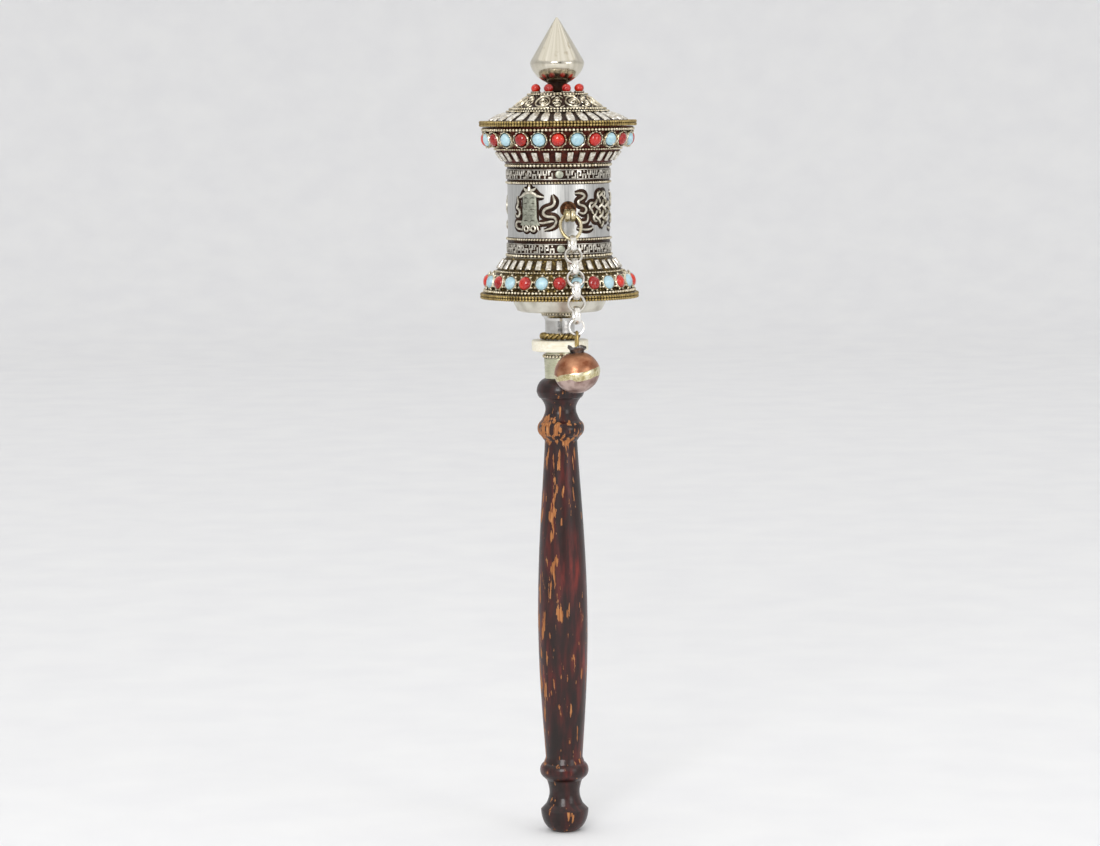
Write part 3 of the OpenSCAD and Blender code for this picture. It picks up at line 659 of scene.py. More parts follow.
def studio_card(name, dark, light, size):
    """Matt card or paper with a trace of grain."""
    material, tree, shader, place = finish(name, Roughness=0.9)
    fibre = grain(tree, place, size, 2.0)
    feed(shader, {"Base Color": add(tree, "ValToRGB", {"Fac": fibre}, ((0.3, dark), (0.7, light)))})
    return material


def pale_floor():
    """Studio sweep of nearly white paper."""
    return studio_card("Studio paper sweep", "#E2E2E3", "#E6E6E6", 40.0)


def black_card():
    """Grey card behind the camera: it puts a soft dark band into the polished metal."""
    return studio_card("Grey card", "#3C3A38", "#464442", 30.0)


MADE = {}


def made_of(maker):
    """The material that a maker function gives, made once."""
    if maker not in MADE:
        MADE[maker] = maker()
    return MADE[maker]


# ---------------------------------------------------------------- settings

def length(name, description, size):
    """A length setting, given in millimetres."""
    return FloatProperty(name=name, description=description, default=size * MM, unit="LENGTH",
                         precision=5, min=0.0)


def angle(name, description, degrees):
    return FloatProperty(name=name, description=description, default=math.radians(degrees),
                         subtype="ANGLE", unit="ROTATION")


def shade(name, description, code):
    """A colour setting, given as an sRGB hex code."""
    return FloatVectorProperty(name=name, description=description, default=colour(code), size=4,
                               subtype="COLOR", min=0.0, max=1.0)


def count(name, description, number):
    return IntProperty(name=name, description=description, default=number, min=1)


class DrumSettings(bpy.types.PropertyGroup):
    upper_ground: shade("Upper ground", "Patina behind the upper stones", "#35130D")
    lower_ground: shade("Lower ground", "Patina behind the lower stones", "#2E2110")
    rim_turns: count("Rim turns", "Turns of twisted wire round each rim", 146)
    edge_beads: count("Edge beads", "Beads in the wire beside each rim", 122)
    fine_beads: count("Fine beads", "Beads in the fine wire between stones and ribs", 127)
    shell_beads: count("Cylinder beads", "Beads in the rings at the cylinder's ends", 80)
    band_beads: count("Band beads", "Beads in the wires beside the plain cylinder", 104)
    lower_ribs: count("Lower ribs", "Silver blocks round the lower flange", 36)
    upper_ribs: count("Upper ribs", "Silver blocks round the upper flange", 32)
    rib_width: length("Rib width", "Width of a silver block", 1.95)
    fret_cells: count("Fret cells", "Cells of fretwork in half a band", 27)
    lozenge_turn: angle("Lozenge", "Turn of the blank pad in each band from the front", 2.0)


class HandleSettings(bpy.types.PropertyGroup):
    lacquer: shade("Lacquer", "Colour of the film where it is thickest", "#170E0C")
    wood: shade("Bare wood", "Colour of the wood where the lacquer is chipped", "#A0663A")


class StoneSettings(bpy.types.PropertyGroup):
    size: length("Stone", "Diameter of a coral or turquoise stone", 4.5)
    dome: length("Dome", "Height of a stone above its bezel", 1.5)
    lean: angle("Lean", "How far the stones face up or down", 14.0)
    lower: count("Lower stones", "Stones round the lower flange", 26)
    upper: count("Upper stones", "Stones round the upper flange", 24)
    coral: shade("Coral", "Body colour of the dyed coral", "#A60F08")
    turquoise: shade("Turquoise", "Body colour of the turquoise", "#9CBFC9")


class RoofSettings(bpy.types.PropertyGroup):
    crown_r: length("Crown", "Radius of the flat crown", 9.6)
    petals: count("Petals", "Long ribs round the eaves", 32)
    medallions: count("Medallions", "Spiral medallions in the scroll band", 8)
    corals: count("Corals", "Coral balls round the crown", 8)
    coral_d: length("Coral ball", "Diameter of a coral ball", 3.0)


class ChainSettings(bpy.types.PropertyGroup):
    link_r: length("Link radius", "Radius of a link at the middle of its band", 2.77)
    link_wall: length("Link wall", "Thickness of a link's band", 0.84)
    link_band: length("Link band", "Width of a link's band", 2.1)
    ring_wire: length("Ring wire", "Wire of the large ring", 1.15)
    ring_w: length("Ring width", "Width of the large ring at its wire's middle", 7.2)
    thin_wire: length("Thin wire", "Wire of the thin ring", 0.7)
    jump_wire: length("Jump wire", "Wire of the jump ring", 0.9)
    jump_w: length("Jump ring width", "Width of the jump ring at its wire's middle", 3.1)


class WeightSettings(bpy.types.PropertyGroup):
    copper: shade("Copper", "Colour of the upper half", "#C08D6C")
    rose: shade("Rose copper", "Colour of the lower half", "#C2ABA2")
    tilt: angle("Seam tilt", "How far the seam rises to the right", 12.0)
    dents: length("Dents", "Depth of the hand-made unevenness", 0.16)
    seam_h: length("Seam height", "Height of the brass seam", 2.7)


class StageSettings(bpy.types.PropertyGroup):
    sweep_r: FloatProperty(name="Sweep", description="Radius of the flat part of the studio sweep",
                           default=2.2, unit="LENGTH")
    lens: FloatProperty(name="Lens", description="Focal length for a 36 mm wide sensor", default=108.65,
                        unit="CAMERA")
    distance: FloatProperty(name="Distance", description="Camera's distance from the rod", default=1.157,
                            unit="LENGTH")
    height: FloatProperty(name="Height", description="Camera's height", default=0.2586, unit="LENGTH")
    aside: FloatProperty(name="Aside", description="How far the camera stands to the left",
                         default=0.0026, unit="LENGTH")
    pitch: angle("Pitch", "How far the camera looks down", 5.608)
    roll: angle("Roll", "How far the camera is turned about its view", 0.6)
    sky: FloatProperty(name="Sky", description="Strength of the even light from all round", default=1.17)


GROUPS = {"drum": DrumSettings, "handle": HandleSettings, "stones": StoneSettings,
          "roof": RoofSettings, "chain": ChainSettings, "weight": WeightSettings, "stage": StageSettings}


def settings(group):
    return getattr(bpy.context.scene, "prayer_wheel_" + group)


def mm(value):
    """A length setting in millimetres."""
    return value / MM


class Builder(bpy.types.Operator):
    """Shared base of the building steps."""
    bl_options = {"REGISTER", "UNDO"}

    def execute(self, context):
        self.build()
        return {"FINISHED"}


# ---------------------------------------------------------------- solids that keep their shape

class DressSolids(Builder):
    """Gives the turned and sheet-metal solids their finishes"""
    bl_idname = "prayer_wheel.dress_solids"
    bl_label = "Dress the solids"

    def build(self):
        for maker, nodes in (
                (worn_lacquer, ("handle",)), (ferrule_silver, ("ferrule",)), (rod_steel, ("axle",)),
                (bone, ("bone_washer",)), (hub_silver, ("hub_sleeve",)),
                (bush_brass, ("lower_bush", "upper_bush", "axle_tube", "finial_nut")),
                (scroll_paper, ("prayer_scroll",)), (dish_silver, ("bottom_dish", "bottom_plate")),
                (drum_silver, ("drum_shell",)), (red_ground, ("upper_flange",)),
                (olive_ground, ("lower_flange",)), (brown_ground, ("roof_cone",))):
            dress(made_of(maker), *nodes)


# ---------------------------------------------------------------- wires and bands of the drum

def rim(node, turns):
    """A rim of two twisted wires laid side by side, on a plain strip."""
    low, high = box(node)
    r, tall = high.x, high.z - low.z
    pitch = math.tau * r / turns
    size = (pitch * 1.05, tall * 0.56, 0.95)
    rows = [bead_row(turns, r - 0.48, low.z + tall * share, size, slant)
            for share, slant in ((0.26, 30), (0.74, -30))]
    inset = 0.12
    strip = turned([(r - 1.5, low.z + inset), (r - 0.7, low.z + inset),
                    (r - 0.7, high.z - inset), (r - 1.5, high.z - inset)], closed=True)
    return joined(strip, *rows)


class Rims(Builder):
    """Twists the paired brass wires round the two rims"""
    bl_idname = "prayer_wheel.rims"
    bl_label = "Rims"

    def build(self):
        turns = settings("drum").rim_turns
        brass = made_of(twist_brass)
        piece("lower_rim_twist", rim("lower_rim_wires", turns), brass, "drum",
              ("lower_rim_wires",))
        piece("upper_rim_twist", rim("roof_rim_wires", turns), brass, "lid",
              ("roof_rim_wires",))


def beaded(r, z, number, tall, deep, fill=0.94, slant=0.0, lean=0.0, **form):
    """A bead row whose beads nearly fill their pitch."""
    return bead_row(number, r, z, (math.tau * r / number * fill, tall, deep), slant, lean, **form)


class BeadRings(Builder):
    """Lays the beaded wires round the flanges and the cylinder"""
    bl_idname = "prayer_wheel.bead_rings"
    bl_label = "Bead rings"

    def build(self):
        drum = settings("drum")
        beads = made_of(pale_bead)
        for end, side in (("lower", 1), ("upper", -1)):
            low, high = box(end + "_bead_rings")
            wide, narrow = (low.z, high.z) if side > 0 else (high.z, low.z)
            edge = beaded(high.x - 0.38, wide + side * 0.62, drum.edge_beads, 1.15, 1.1)
            fine = beaded(out_r(end + "_ribs") - 0.15, narrow - side * 0.35, drum.fine_beads, 0.72, 0.8)
            piece(end + "_flange_beads", joined(edge, fine), beads, "drum",
                  (end + "_bead_rings",))
        low, high = box("shell_bead_rings")
        r = high.x - 0.52
        rings = [beaded(r, z, drum.shell_beads, 1.2, 1.05, 0.97) for z in (low.z + 0.6, high.z - 0.6)]
        ledges = [turned([(r - 0.3, z - 0.72), (r + 0.12, z - 0.66), (r + 0.12, z - 0.56),
                          (r - 0.3, z - 0.5)], closed=True) for z in (low.z + 0.6, high.z + 0.68)]
        piece("shell_beads", roughened(joined(*rings, *ledges), 0.05, 1.4), beads, "drum",
              ("shell_bead_rings",))
        low, high = box("band_wires")
        wires = [beaded(high.x - 0.32, z, drum.band_beads, 0.82, 0.8, 1.0, slant)
                 for z, slant in ((low.z + 0.4, 24), (high.z - 0.4, -24))]
        piece("band_twists", joined(*wires), beads, "drum", ("band_wires",))


# Bars of the fret cells as (left, bottom, right, top) in a field one unit wide and one high.
FRET_CELLS = (
    ((0.0, 0.0, 0.26, 1.0), (0.0, 0.76, 0.84, 1.0), (0.58, 0.28, 0.84, 1.0), (0.36, 0.28, 0.84, 0.52)),
    ((0.0, 0.0, 0.84, 0.24), (0.58, 0.0, 0.84, 0.72), (0.0, 0.4, 0.26, 1.0), (0.0, 0.76, 0.46, 1.0)),
    ((0.0, 0.38, 0.84, 0.62), (0.29, 0.0, 0.55, 0.62), (0.0, 0.38, 0.26, 1.0), (0.58, 0.38, 0.84, 1.0)),
    ((0.0, 0.0, 0.26, 0.6), (0.0, 0.36, 0.84, 0.6), (0.58, 0.0, 0.84, 0.6), (0.29, 0.74, 0.55, 1.0)),
)


def fret_band(node, cells, pad_turn, shift):
    """A band of key fretwork, two runs of cells with a blank pad between them."""
    low, high = box(node)
    tall, r_in = high.z - low.z, high.x - 0.5
    middle = (low.z + high.z) / 2
    pad_share = 13.0
    step = (180 - pad_share) / cells
    width = math.radians(step) * high.x
    field = tall - 0.7
    parts = []
    for half in (0, 180):
        for i in range(cells):
            turn = pad_turn + half + pad_share / 2 + (i + 0.5) * step
            for left, bottom, right, top in FRET_CELLS[(i * 3 + i // 5 + shift) % len(FRET_CELLS)]:
                bar = block(((right - left) * width, (top - bottom) * field, 0.62), 0.07)
                place = Vector((((left + right) / 2 - 0.42) * width, ((bottom + top) / 2 - 0.5) * field, 0))
                moved(bar, Matrix.Translation(place))
                parts.append(moved(bar, Matrix.Rotation(math.radians(turn), 4, "Z")
                                   @ at_front(r_in + 0.22, middle)))
    for z in (low.z + 0.14, high.z - 0.14):
        parts.append(turned([(r_in - 0.1, z - 0.14), (r_in + 0.42, z - 0.1), (r_in + 0.42, z + 0.1),
                             (r_in - 0.1, z + 0.14)], closed=True))
    pad = moved(bead((2.8, tall * 0.78, 0.36), 16, 8), at_front(r_in + 0.08, middle))
    return roughened(joined(*parts), 0.05, 0.8), around(pad, 2, pad_turn)


class Frets(Builder):
    """Chases the two fretwork bands round the cylinder"""
    bl_idname = "prayer_wheel.frets"
    bl_label = "Fretwork bands"

    def build(self):
        drum = settings("drum")
        pad = math.degrees(drum.lozenge_turn)
        for shift, end in enumerate(("lower", "upper")):
            node = end + "_fret_band"
            band, pads = fret_band(node, drum.fret_cells, pad - shift, 2 * shift)
            piece(end + "_fretwork", band, made_of(fret_silver), "drum", (node,))
            piece(end + "_blank_pads", pads, made_of(cloth_silver), "drum")
            r = out_r(node) - 0.5
            # The dark ground runs on under the bead wires, to the flange.
            rings, wires = box("shell_bead_rings"), box("band_wires")
            foot, head = (rings[0].z, wires[0].z + 1) if end == "lower" else (wires[1].z - 1, rings[1].z)
            ground = turned([(r - 0.1, foot), (r + 0.06, foot), (r + 0.06, head), (r - 0.1, head)],
                            closed=True)
            piece(end + "_fret_ground", ground, made_of(brown_ground), "drum")


def flange_ribs(node, number, width, side):
    """Stamped blocks on the steep part of a flange; side is 1 on the lower flange, -1 on the upper."""
    low, high = box(node)
    tall = high.z - low.z
    lean = 36.3
    run = tall * math.tan(math.radians(lean))
    long = tall / math.cos(math.radians(lean))
    rib = block((width, long * 0.9, 1.0), 0.28, 2)
    for vert in rib.verts:  # a block is narrower, and thicker, at its inner end
        share = vert.co.y / long * side
        vert.co.x *= 1 - 0.22 * share
        vert.co.z += 0.12 * math.cos(math.pi * vert.co.x / width)
    place = at_front(high.x - run / 2 - 0.42, (low.z + high.z) / 2, lean * side)
    return roughened(around(moved(rib, place), number), 0.11, 1.1)


class Ribs(Builder):
    """Sets the silver blocks round the two flanges"""
    bl_idname = "prayer_wheel.ribs"
    bl_label = "Ribs"

    def build(self):
        drum = settings("drum")
        silver = made_of(rib_silver)
        for end, side, number in (("lower", 1, drum.lower_ribs), ("upper", -1, drum.upper_ribs)):
            node = end + "_ribs"
            piece(end + "_blocks", flange_ribs(node, number, mm(drum.rib_width), side), silver, "drum",
                  (node,))


# ---------------------------------------------------------------- stones

def stone_seat(end):
    """Radius and height of a bezel's face, and which way it leans."""
    stones = settings("stones")
    side = 1 if end == "lower" else -1
    cad_dome = 0.3 * mm(stones.size)
    r = -box(end + "_corals")[0].y - cad_dome * math.cos(stones.lean)
    z = mid_z(end + "_corals") - side * cad_dome * math.sin(stones.lean) / 2
    return r, z, math.degrees(stones.lean) * side


def bezel(size, claws):
    """A stone's cup: claws that point outwards on the plate, or scallops on the rim."""
    r = size / 2 if claws else size / 2 + 0.3
    cup = turned([(r - 0.05, -2.4), (r + 0.42, -2.4), (r + 0.45, -0.5), (r + 0.34, 0.1), (r + 0.16, 0.34),
                  (r - 0.03, 0.22)], 24, closed=True)
    parts = [cup]
    for i in range(claws or 12):
        spot = Matrix.Rotation(math.tau * i / (claws or 12), 4, "Z")
        if claws:
            claw = bead((0.95, 1.3, 0.8), 6, 5)
            spot = spot @ Matrix.Translation((0, r + 0.45, -0.2)) @ Matrix.Rotation(-0.5, 4, "X")
        else:
            claw = bead((0.85, 0.62, 0.7), 6, 5)
            spot = spot @ Matrix.Translation((0, r + 0.22, 0.2))
        parts.append(moved(claw, spot))
    return joined(*parts)


def cabochon(size, dome):
    return bead((size, size, 2 * dome), 20, 12)


class Stones(Builder):
    """Sets the coral and turquoise stones in their bezels"""
    bl_idname = "prayer_wheel.stones"
    bl_label = "Stones and bezels"

    def build(self):
        stones = settings("stones")
        size, dome = mm(stones.size), mm(stones.dome)
        for end, number, claws in (("lower", stones.lower, 9), ("upper", stones.upper, 0)):
            r, z, lean = stone_seat(end)
            cups = around(moved(bezel(size, claws), at_front(r, z, lean)), number)
            piece(end + "_stone_cups", roughened(cups, 0.09, 1.6), made_of(pale_bead), "drum",
                  (end + "_bezels",))
            for first, kind, maker in ((0, "corals", coral), (1, "turquoises", turquoise)):
                stone = moved(cabochon(size, dome), at_front(r, z, lean))
                ring = around(stone, number // 2, first * 360 / number)
                piece(end + "_set_" + kind, roughened(ring, 0.2, 5.0), made_of(maker), "drum",
                      (end + "_" + kind,))


# ---------------------------------------------------------------- raised symbols

def plate(outline, tall, rise, puff=0.35):
    """A cushion-faced plate; outline gives its half width at a height share from -1 to 1."""
    bm = bmesh.new()
    bmesh.ops.create_cube(bm, size=2)
    bmesh.ops.subdivide_edges(bm, edges=bm.edges, cuts=11, use_grid_fill=True)
    for vert in bm.verts:
        x, y, z = vert.co
        face = 1 - puff * max(abs(x), abs(y)) ** 4
        vert.co = (x * outline(y), y * tall / 2, (z + 1) / 2 * rise * face)
    return bm


def banner():
    """The victory banner: a tasselled cloth drum under a canopy, with flying ribbons."""
    body = plate(lambda y: 2.85 + 1.5 * max(0, -y - 0.55) ** 1.2 * 2 - 0.25 * max(0, y), 11.2, 0.62)
    canopy = [[(-4.6, 3.9, 0.5), (-3.2, 4.2, 1.1), (-1.8, 5.4, 1.3), (0, 6.0, 1.4), (1.8, 5.4, 1.3),
               (3.2, 4.2, 1.1), (5.4, 4.1, 0.5)],
              [(-2.5, 7.4, 0.4), (-1.7, 6.2, 1.2), (0, 6.6, 1.4), (1.7, 6.2, 1.2), (2.5, 7.4, 0.4)],
              [(0, 6.2, 1.7), (0, 8.4, 0.55)]]
    right = [[(8.4, 5.0, 0.35), (8.9, 3.6, 1), (9.5, 2.2, 1), (8.2, 0.6, 1), (6.0, 0.4, 1),
              (4.8, -1.2, 1.1), (6.0, -2.8, 1), (9.4, -2.4, 1), (9.9, -4.6, 1), (8.6, -6.6, 0.9),
              (5.4, -7.2, 0.4)], [(3.6, -4.6, 0.6), (5.4, -5.2, 1), (7.4, -4.0, 1), (8.8, -4.2, 0.5)]]
    left = [[(-5.7, 4.4, 0.35), (-5.3, 3.0, 0.9), (-4.9, 1.4, 1), (-6.4, 0.4, 1), (-4.3, -0.1, 1),
             (-4.0, -2.2, 1), (-5.9, -3.1, 1), (-7.0, -1.6, 0.5)],
            [(-3.4, -4.4, 0.7), (-6.0, -4.0, 1), (-6.9, -5.6, 1), (-5.6, -7.0, 0.9), (-3.0, -7.0, 0.5)]]
    loops = [oval(-1.4, -6.7, 0.85, 0.95), oval(1.4, -6.7, 0.85, 0.95)]
    tassels = [[(x, -5.4, 0.8), (x * 1.25, -7.4, 0.5)] for x in (-2.7, 0, 2.7)]
    weave = []
    for row in range(5):
        for side in (-1, 1):
            y = 3.9 - 1.95 * row
            weave.append([(side * 0.5, y - 0.25, 0.6), (side * 1.2, y + 0.2, 1),
                          (side * 2.1, y - 0.15, 0.5)])
    return body, canopy + right + left + tassels, loops, weave


def knot():
    """The endless knot: two runs of ribbon woven through each other, with ribbons beside it."""
    pitch, lines = 2.6, 4
    reach = pitch * (lines - 1) / 2
    runs = []
    for swap in (0, 1):
        run = []
        for i in range(lines):
            p = pitch * i - reach
            ends = (-1, 1) if i % 2 == 0 else (1, -1)
            steps = 12
            for j in range(steps + 1):
                q = (ends[0] + (ends[1] - ends[0]) * j / steps) * (reach + 0.75)
                over = 0.3 * math.cos(math.pi * (q / pitch + i + swap + 0.5))
                run.append((p, q, 1, over))
            if i < lines - 1:
                run.append((p + pitch / 2, ends[1] * (reach + 1.7), 1, 0))
        runs.append([(q, p, w, h) if swap else (p, q, w, h) for p, q, w, h in run])
    s = math.sqrt(0.5)
    lattice = [[((p - q) * s, (p + q) * s, w, h) for p, q, w, h in run] for run in runs]
    left = [[(-11.4, 5.6, 0.5), (-9.2, 5.9, 1.1), (-7.4, 4.9, 1.1), (-8.6, 3.7, 1), (-10.6, 3.1, 1),
             (-10.0, 1.4, 1), (-7.4, 1.4, 1), (-6.9, -0.8, 1), (-8.6, -1.8, 1), (-10.0, -0.7, 0.5)],
            [(-6.6, -1.6, 0.7), (-6.2, -3.8, 1), (-8.4, -5.2, 1.1), (-10.8, -3.8, 1), (-9.8, -2.4, 0.5)],
            [(-10.9, -6.3, 0.4), (-8.6, -6.9, 1), (-6.2, -7.3, 1.1), (-4.4, -6.2, 0.6)]]
    right = [[(7.0, 5.8, 0.5), (8.9, 5.6, 1), (9.8, 3.9, 1), (8.3, 2.4, 1), (9.3, 0.4, 1),
              (11.0, 1.4, 0.5)], [(6.8, -1.2, 0.7), (9.3, -1.8, 1), (10.2, -4.0, 1), (8.2, -5.4, 1),
                                  (6.9, -4.0, 0.5)],
             [(4.6, -6.4, 0.6), (6.9, -7.2, 1.1), (9.9, -6.6, 0.4)]]
    return None, lattice + left + right, [], []


def lotus():
    """The open lotus: pointed petals fanned above a leafy stalk with curled tendrils."""
    petals = []
    for turn in (-78, -52, -26, 0, 26, 52, 78):
        a = math.radians(turn)
        long = 6.6 - abs(turn) / 40
        for half in (-1, 1):
            edge = []
            for r, w, taper in ((1.0, 0.3, 0.8), (3.0, 1.25, 1), (4.6, 1.15, 1), (long, 0.0, 0.4)):
                x, y = half * w, r
                edge.append((x * math.cos(a) + y * math.sin(a),
                             -x * math.sin(a) + y * math.cos(a) - 0.8, taper))
            petals.append(edge)
    stalk = mirrored([[(0.4, -1.8, 0.8), (2.6, -2.2, 1.1), (4.6, -3.4, 1), (3.6, -5.0, 1),
                       (2.0, -4.2, 0.5)],
                      [(0.8, -3.2, 0.7), (1.0, -5.4, 1), (3.6, -7.2, 0.9), (6.6, -6.4, 0.9),
                       (6.6, -4.6, 0.4)]])
    return None, petals + stalk + [[(-2.4, -7.2, 0.5), (0, -7.0, 1.2), (2.4, -7.2, 0.5)]], [], []


def dharma_wheel():
    """The eight-spoked wheel on a small cushion, tied with ribbons."""
    hub_y = 0.8
    spokes = []
    for i in range(8):
        a = math.tau * i / 8
        spokes.append([(r * math.cos(a), r * math.sin(a) + hub_y, w)
                       for r, w in ((1.4, 0.8), (3.2, 1), (6.4, 0.45))])
    ribbons_beside = mirrored([[(5.6, -1.8, 0.6), (7.6, -0.6, 1), (8.8, 1.4, 1), (7.4, 3.4, 1),
                                (8.6, 5.2, 0.4)],
                               [(4.0, -4.4, 0.7), (6.6, -3.4, 1), (8.9, -4.2, 1), (8.2, -6.4, 1),
                                (5.4, -6.2, 0.5)]])
    cushion = [[(-3.8, -6.0, 0.7), (0, -5.4, 1.4), (3.8, -6.0, 0.7)],
               [(-3.0, -7.2, 0.6), (0, -7.0, 1.3), (3.0, -7.2, 0.6)]]
    rings = [oval(0, hub_y, 4.8, 4.8, 16), oval(0, hub_y, 1.2, 1.2)]
    return None, spokes + ribbons_beside + cushion, rings, []


class Symbols(Builder):
    """Raises the four symbols on the plain cylinder, each with a dark outline of painted shadow"""
    bl_idname = "prayer_wheel.symbols"
    bl_label = "Symbols"

    def build(self):
        r = out_r("drum_shell")
        for turn, node, draw in ((-34, "banner_relief", banner), (55, "knot_relief", knot),
                                 (149, "lotus_relief", lotus), (239, "wheel_relief", dharma_wheel)):
            body, paths, rings, weave = draw()
            z = mid_z(node)
            wide = 0.95 if node == "knot_relief" else 1.05
            # The outline, with the banner's border, is a flat brown-black band round each relief: a painted
            # shadow.
            outline = [ribbons(paths, wide + 2.2, 0.1)]
            relief = [ribbons(paths, wide, 0.62)]
            if rings:
                outline.append(ribbons(rings, wide + 1.1, 0.1, closed=True))
                relief.append(ribbons(rings, wide * 0.8, 0.6, closed=True))
            if weave:
                outline.append(moved(ribbons(weave, 0.42, 0.2), Matrix.Translation((0, 0, 0.5))))
            if body:
                border = body.copy()
                for vert in border.verts:
                    vert.co.x += math.copysign(0.75, vert.co.x)
                    vert.co.y += math.copysign(0.6, vert.co.y)
                    vert.co.z *= 0.16
                outline.append(border)
                cloth = roughened(on_drum(body, r, turn, z), 0.05, 1.0)
                piece("banner_cloth", cloth, made_of(cloth_silver), "drum")
            shape = roughened(on_drum(joined(*relief), r, turn, z), 0.06, 1.0)
            piece(node.replace("_relief", "_symbol"), shape, made_of(relief_silver), "drum",
                  (node,))
            shade = on_drum(joined(*outline), r, turn, z)
            piece(node.replace("_relief", "_shadow"), shade, made_of(brown_ground), "drum")


# ---------------------------------------------------------------- roof

class Roof:
    """The roof's outline: an upper and a lower slope that meet at the paired bead rings."""

    def __init__(self):
        crown = mm(settings("roof").crown_r)
        eave = out_r("roof_cone") - 0.1
        low, high = low_z("roof_cone"), high_z("roof_cone")
        self.crown = Vector((crown, high))
        self.pitch = Vector(((crown + eave) / 2, low + (high - low) * 0.41))
        self.eave = Vector((eave - 1.9, low + 1.7))

    def upper(self, share):
        return self.crown.lerp(self.pitch, share)

    def lower(self, share):
        return self.pitch.lerp(self.eave, share)

    @staticmethod
    def fall(top, foot):
        """The slope's angle below the level, in degrees."""
        return math.degrees(math.atan2(top.y - foot.y, foot.x - top.x))


def medallion():
    """One repeat of the scroll band: a ringed spiral, and a leaf between it and the next."""
    swirl = [spiral(0, 0, 1.85, 0.25, -90, 1.9, 28, 0.9), spiral(0.1, 0.1, 1.1, 0.9, 90, 0.6, 8, 0.9)]
    leaf = [spiral(4.95, 1.5, 1.2, 0.2, 200, 1.9, 22, 0.8),
            spiral(4.95, -1.6, 1.3, 0.2, 160, -1.9, 22, 0.8)]
    for side in (-1, 1):
        x = 4.95 + side * 1.65
        leaf += [[(x - side * 0.9, 3.2, 0.6), (x, 2.8, 1.1), (x + side * 0.55, 1.9, 0.7)],
                 [(x - side * 0.7, -3.3, 0.6), (x, -2.9, 1.1), (x + side * 0.6, -2.2, 0.7)],
                 [(x - side * 0.5, 0.7, 0.6), (x, 0, 1.2), (x - side * 0.4, -0.7, 0.6)]]
    stem = [[(-2.6, 3.2, 0.7), (0, 3.45, 1), (2.6, 3.2, 0.7)],
            [(-2.6, -3.2, 0.7), (0, -3.4, 1), (2.6, -3.2, 0.7)]]
    return swirl, leaf, stem, [oval(0, 0, 2.55, 2.75, 14)]


class RoofOrnament(Builder):
    """Lays the scroll band, the beads, the petals and the corals on the roof"""
    bl_idname = "prayer_wheel.roof"
    bl_label = "Roof ornament"

    def build(self):
        roof, made = Roof(), settings("roof")
        silver = made_of(antique_silver)
        steep = roof.fall(roof.crown, roof.pitch)
        shallow = roof.fall(roof.pitch, roof.eave)

        swirl, leaf, stem, ring = medallion()
        parts = [ribbons(swirl, 0.42, 0.5), ribbons(leaf, 0.42, 0.5), ribbons(stem, 0.45, 0.45),
                 ribbons(ring, 0.52, 0.6, closed=True)]
        middle = roof.upper(0.43)
        turn = 180 / made.medallions
        band = on_cone(joined(*parts), middle.x, middle.y, steep, turn)
        piece("roof_scrollwork", around(band, made.medallions), made_of(filigree_silver), "lid",
              ("roof_scroll_band",))

        rings = []
        for share, number, tall, deep in ((0.055, 56, 0.85, 0.9), (0.82, 92, 0.95, 0.95),
                                          (0.945, 104, 0.85, 0.8)):
            place = roof.upper(share)
            rings.append(beaded(place.x + 0.2, place.y + 0.2, number, tall, deep, lean=90 - steep))
        rings.append(beaded(5.4, roof.crown.y + 0.2, 34, 0.9, 0.8, lean=80))
        piece("roof_beads", joined(*rings), made_of(pale_bead), "lid",
              ("roof_bead_rings",))

        top, foot = roof.lower(0.05), roof.lower(0.99)
        long, wide = (top - foot).length, math.tau * 21 / made.petals * 0.63
        petal = block((wide, long, 1.1), 0.42, 3)
        sides = [e for e in petal.edges if abs(e.verts[0].co.y - e.verts[1].co.y) > long / 2]
        bmesh.ops.subdivide_edges(petal, edges=sides, cuts=5)
        for vert in petal.verts:  # leaf-shaped: arched along its length, and drawn in at both ends
            share = -vert.co.y / long
            vert.co.x *= (1.08 + 0.3 * share) * math.cos(1.35 * share)
            vert.co.z += 0.5 * math.cos(math.pi * share) * math.cos(math.pi * vert.co.x / wide / 1.4) - 0.25
        centre = (top + foot) / 2
        petals = around(moved(petal, at_front(centre.x, centre.y + 0.2, 90 - shallow)), made.petals)
        piece("roof_petals", roughened(petals, 0.14, 1.4), made_of(rib_silver), "lid",
              ("roof_ribs",))

        size = mm(made.coral_d)
        seat = mm(made.crown_r) - size / 2
        z = roof.crown.y
        size *= 1.08
        cup = turned([(0.9, 0.04), (size * 0.46, 0.04), (size * 0.5, 0.6), (size * 0.44, 0.85),
                      (size * 0.36, 0.5), (0.9, 0.3)], 20, closed=True)
        crimps = [moved(bead((0.5, 0.5, 0.9), 6, 5), Matrix.Rotation(math.tau * i / 9, 4, "Z")
                        @ Matrix.Translation((0, size * 0.47, 0.55))) for i in range(9)]
        cups = around(moved(joined(cup, *crimps), Matrix.Translation((0, -seat, z))), made.corals, turn)
        piece("roof_coral_cups", roughened(cups, 0.08, 1.0), silver, "lid",
              ("coral_cups",))
        ball = moved(bead((size, size, size * 0.96), 20, 14),
                     Matrix.Translation((0, -seat, z + 0.28 + size / 2)))
        balls = roughened(around(ball, made.corals, turn), 0.16, 3.2)
        piece("roof_coral_balls", balls, made_of(coral), "lid", ("roof_corals",))


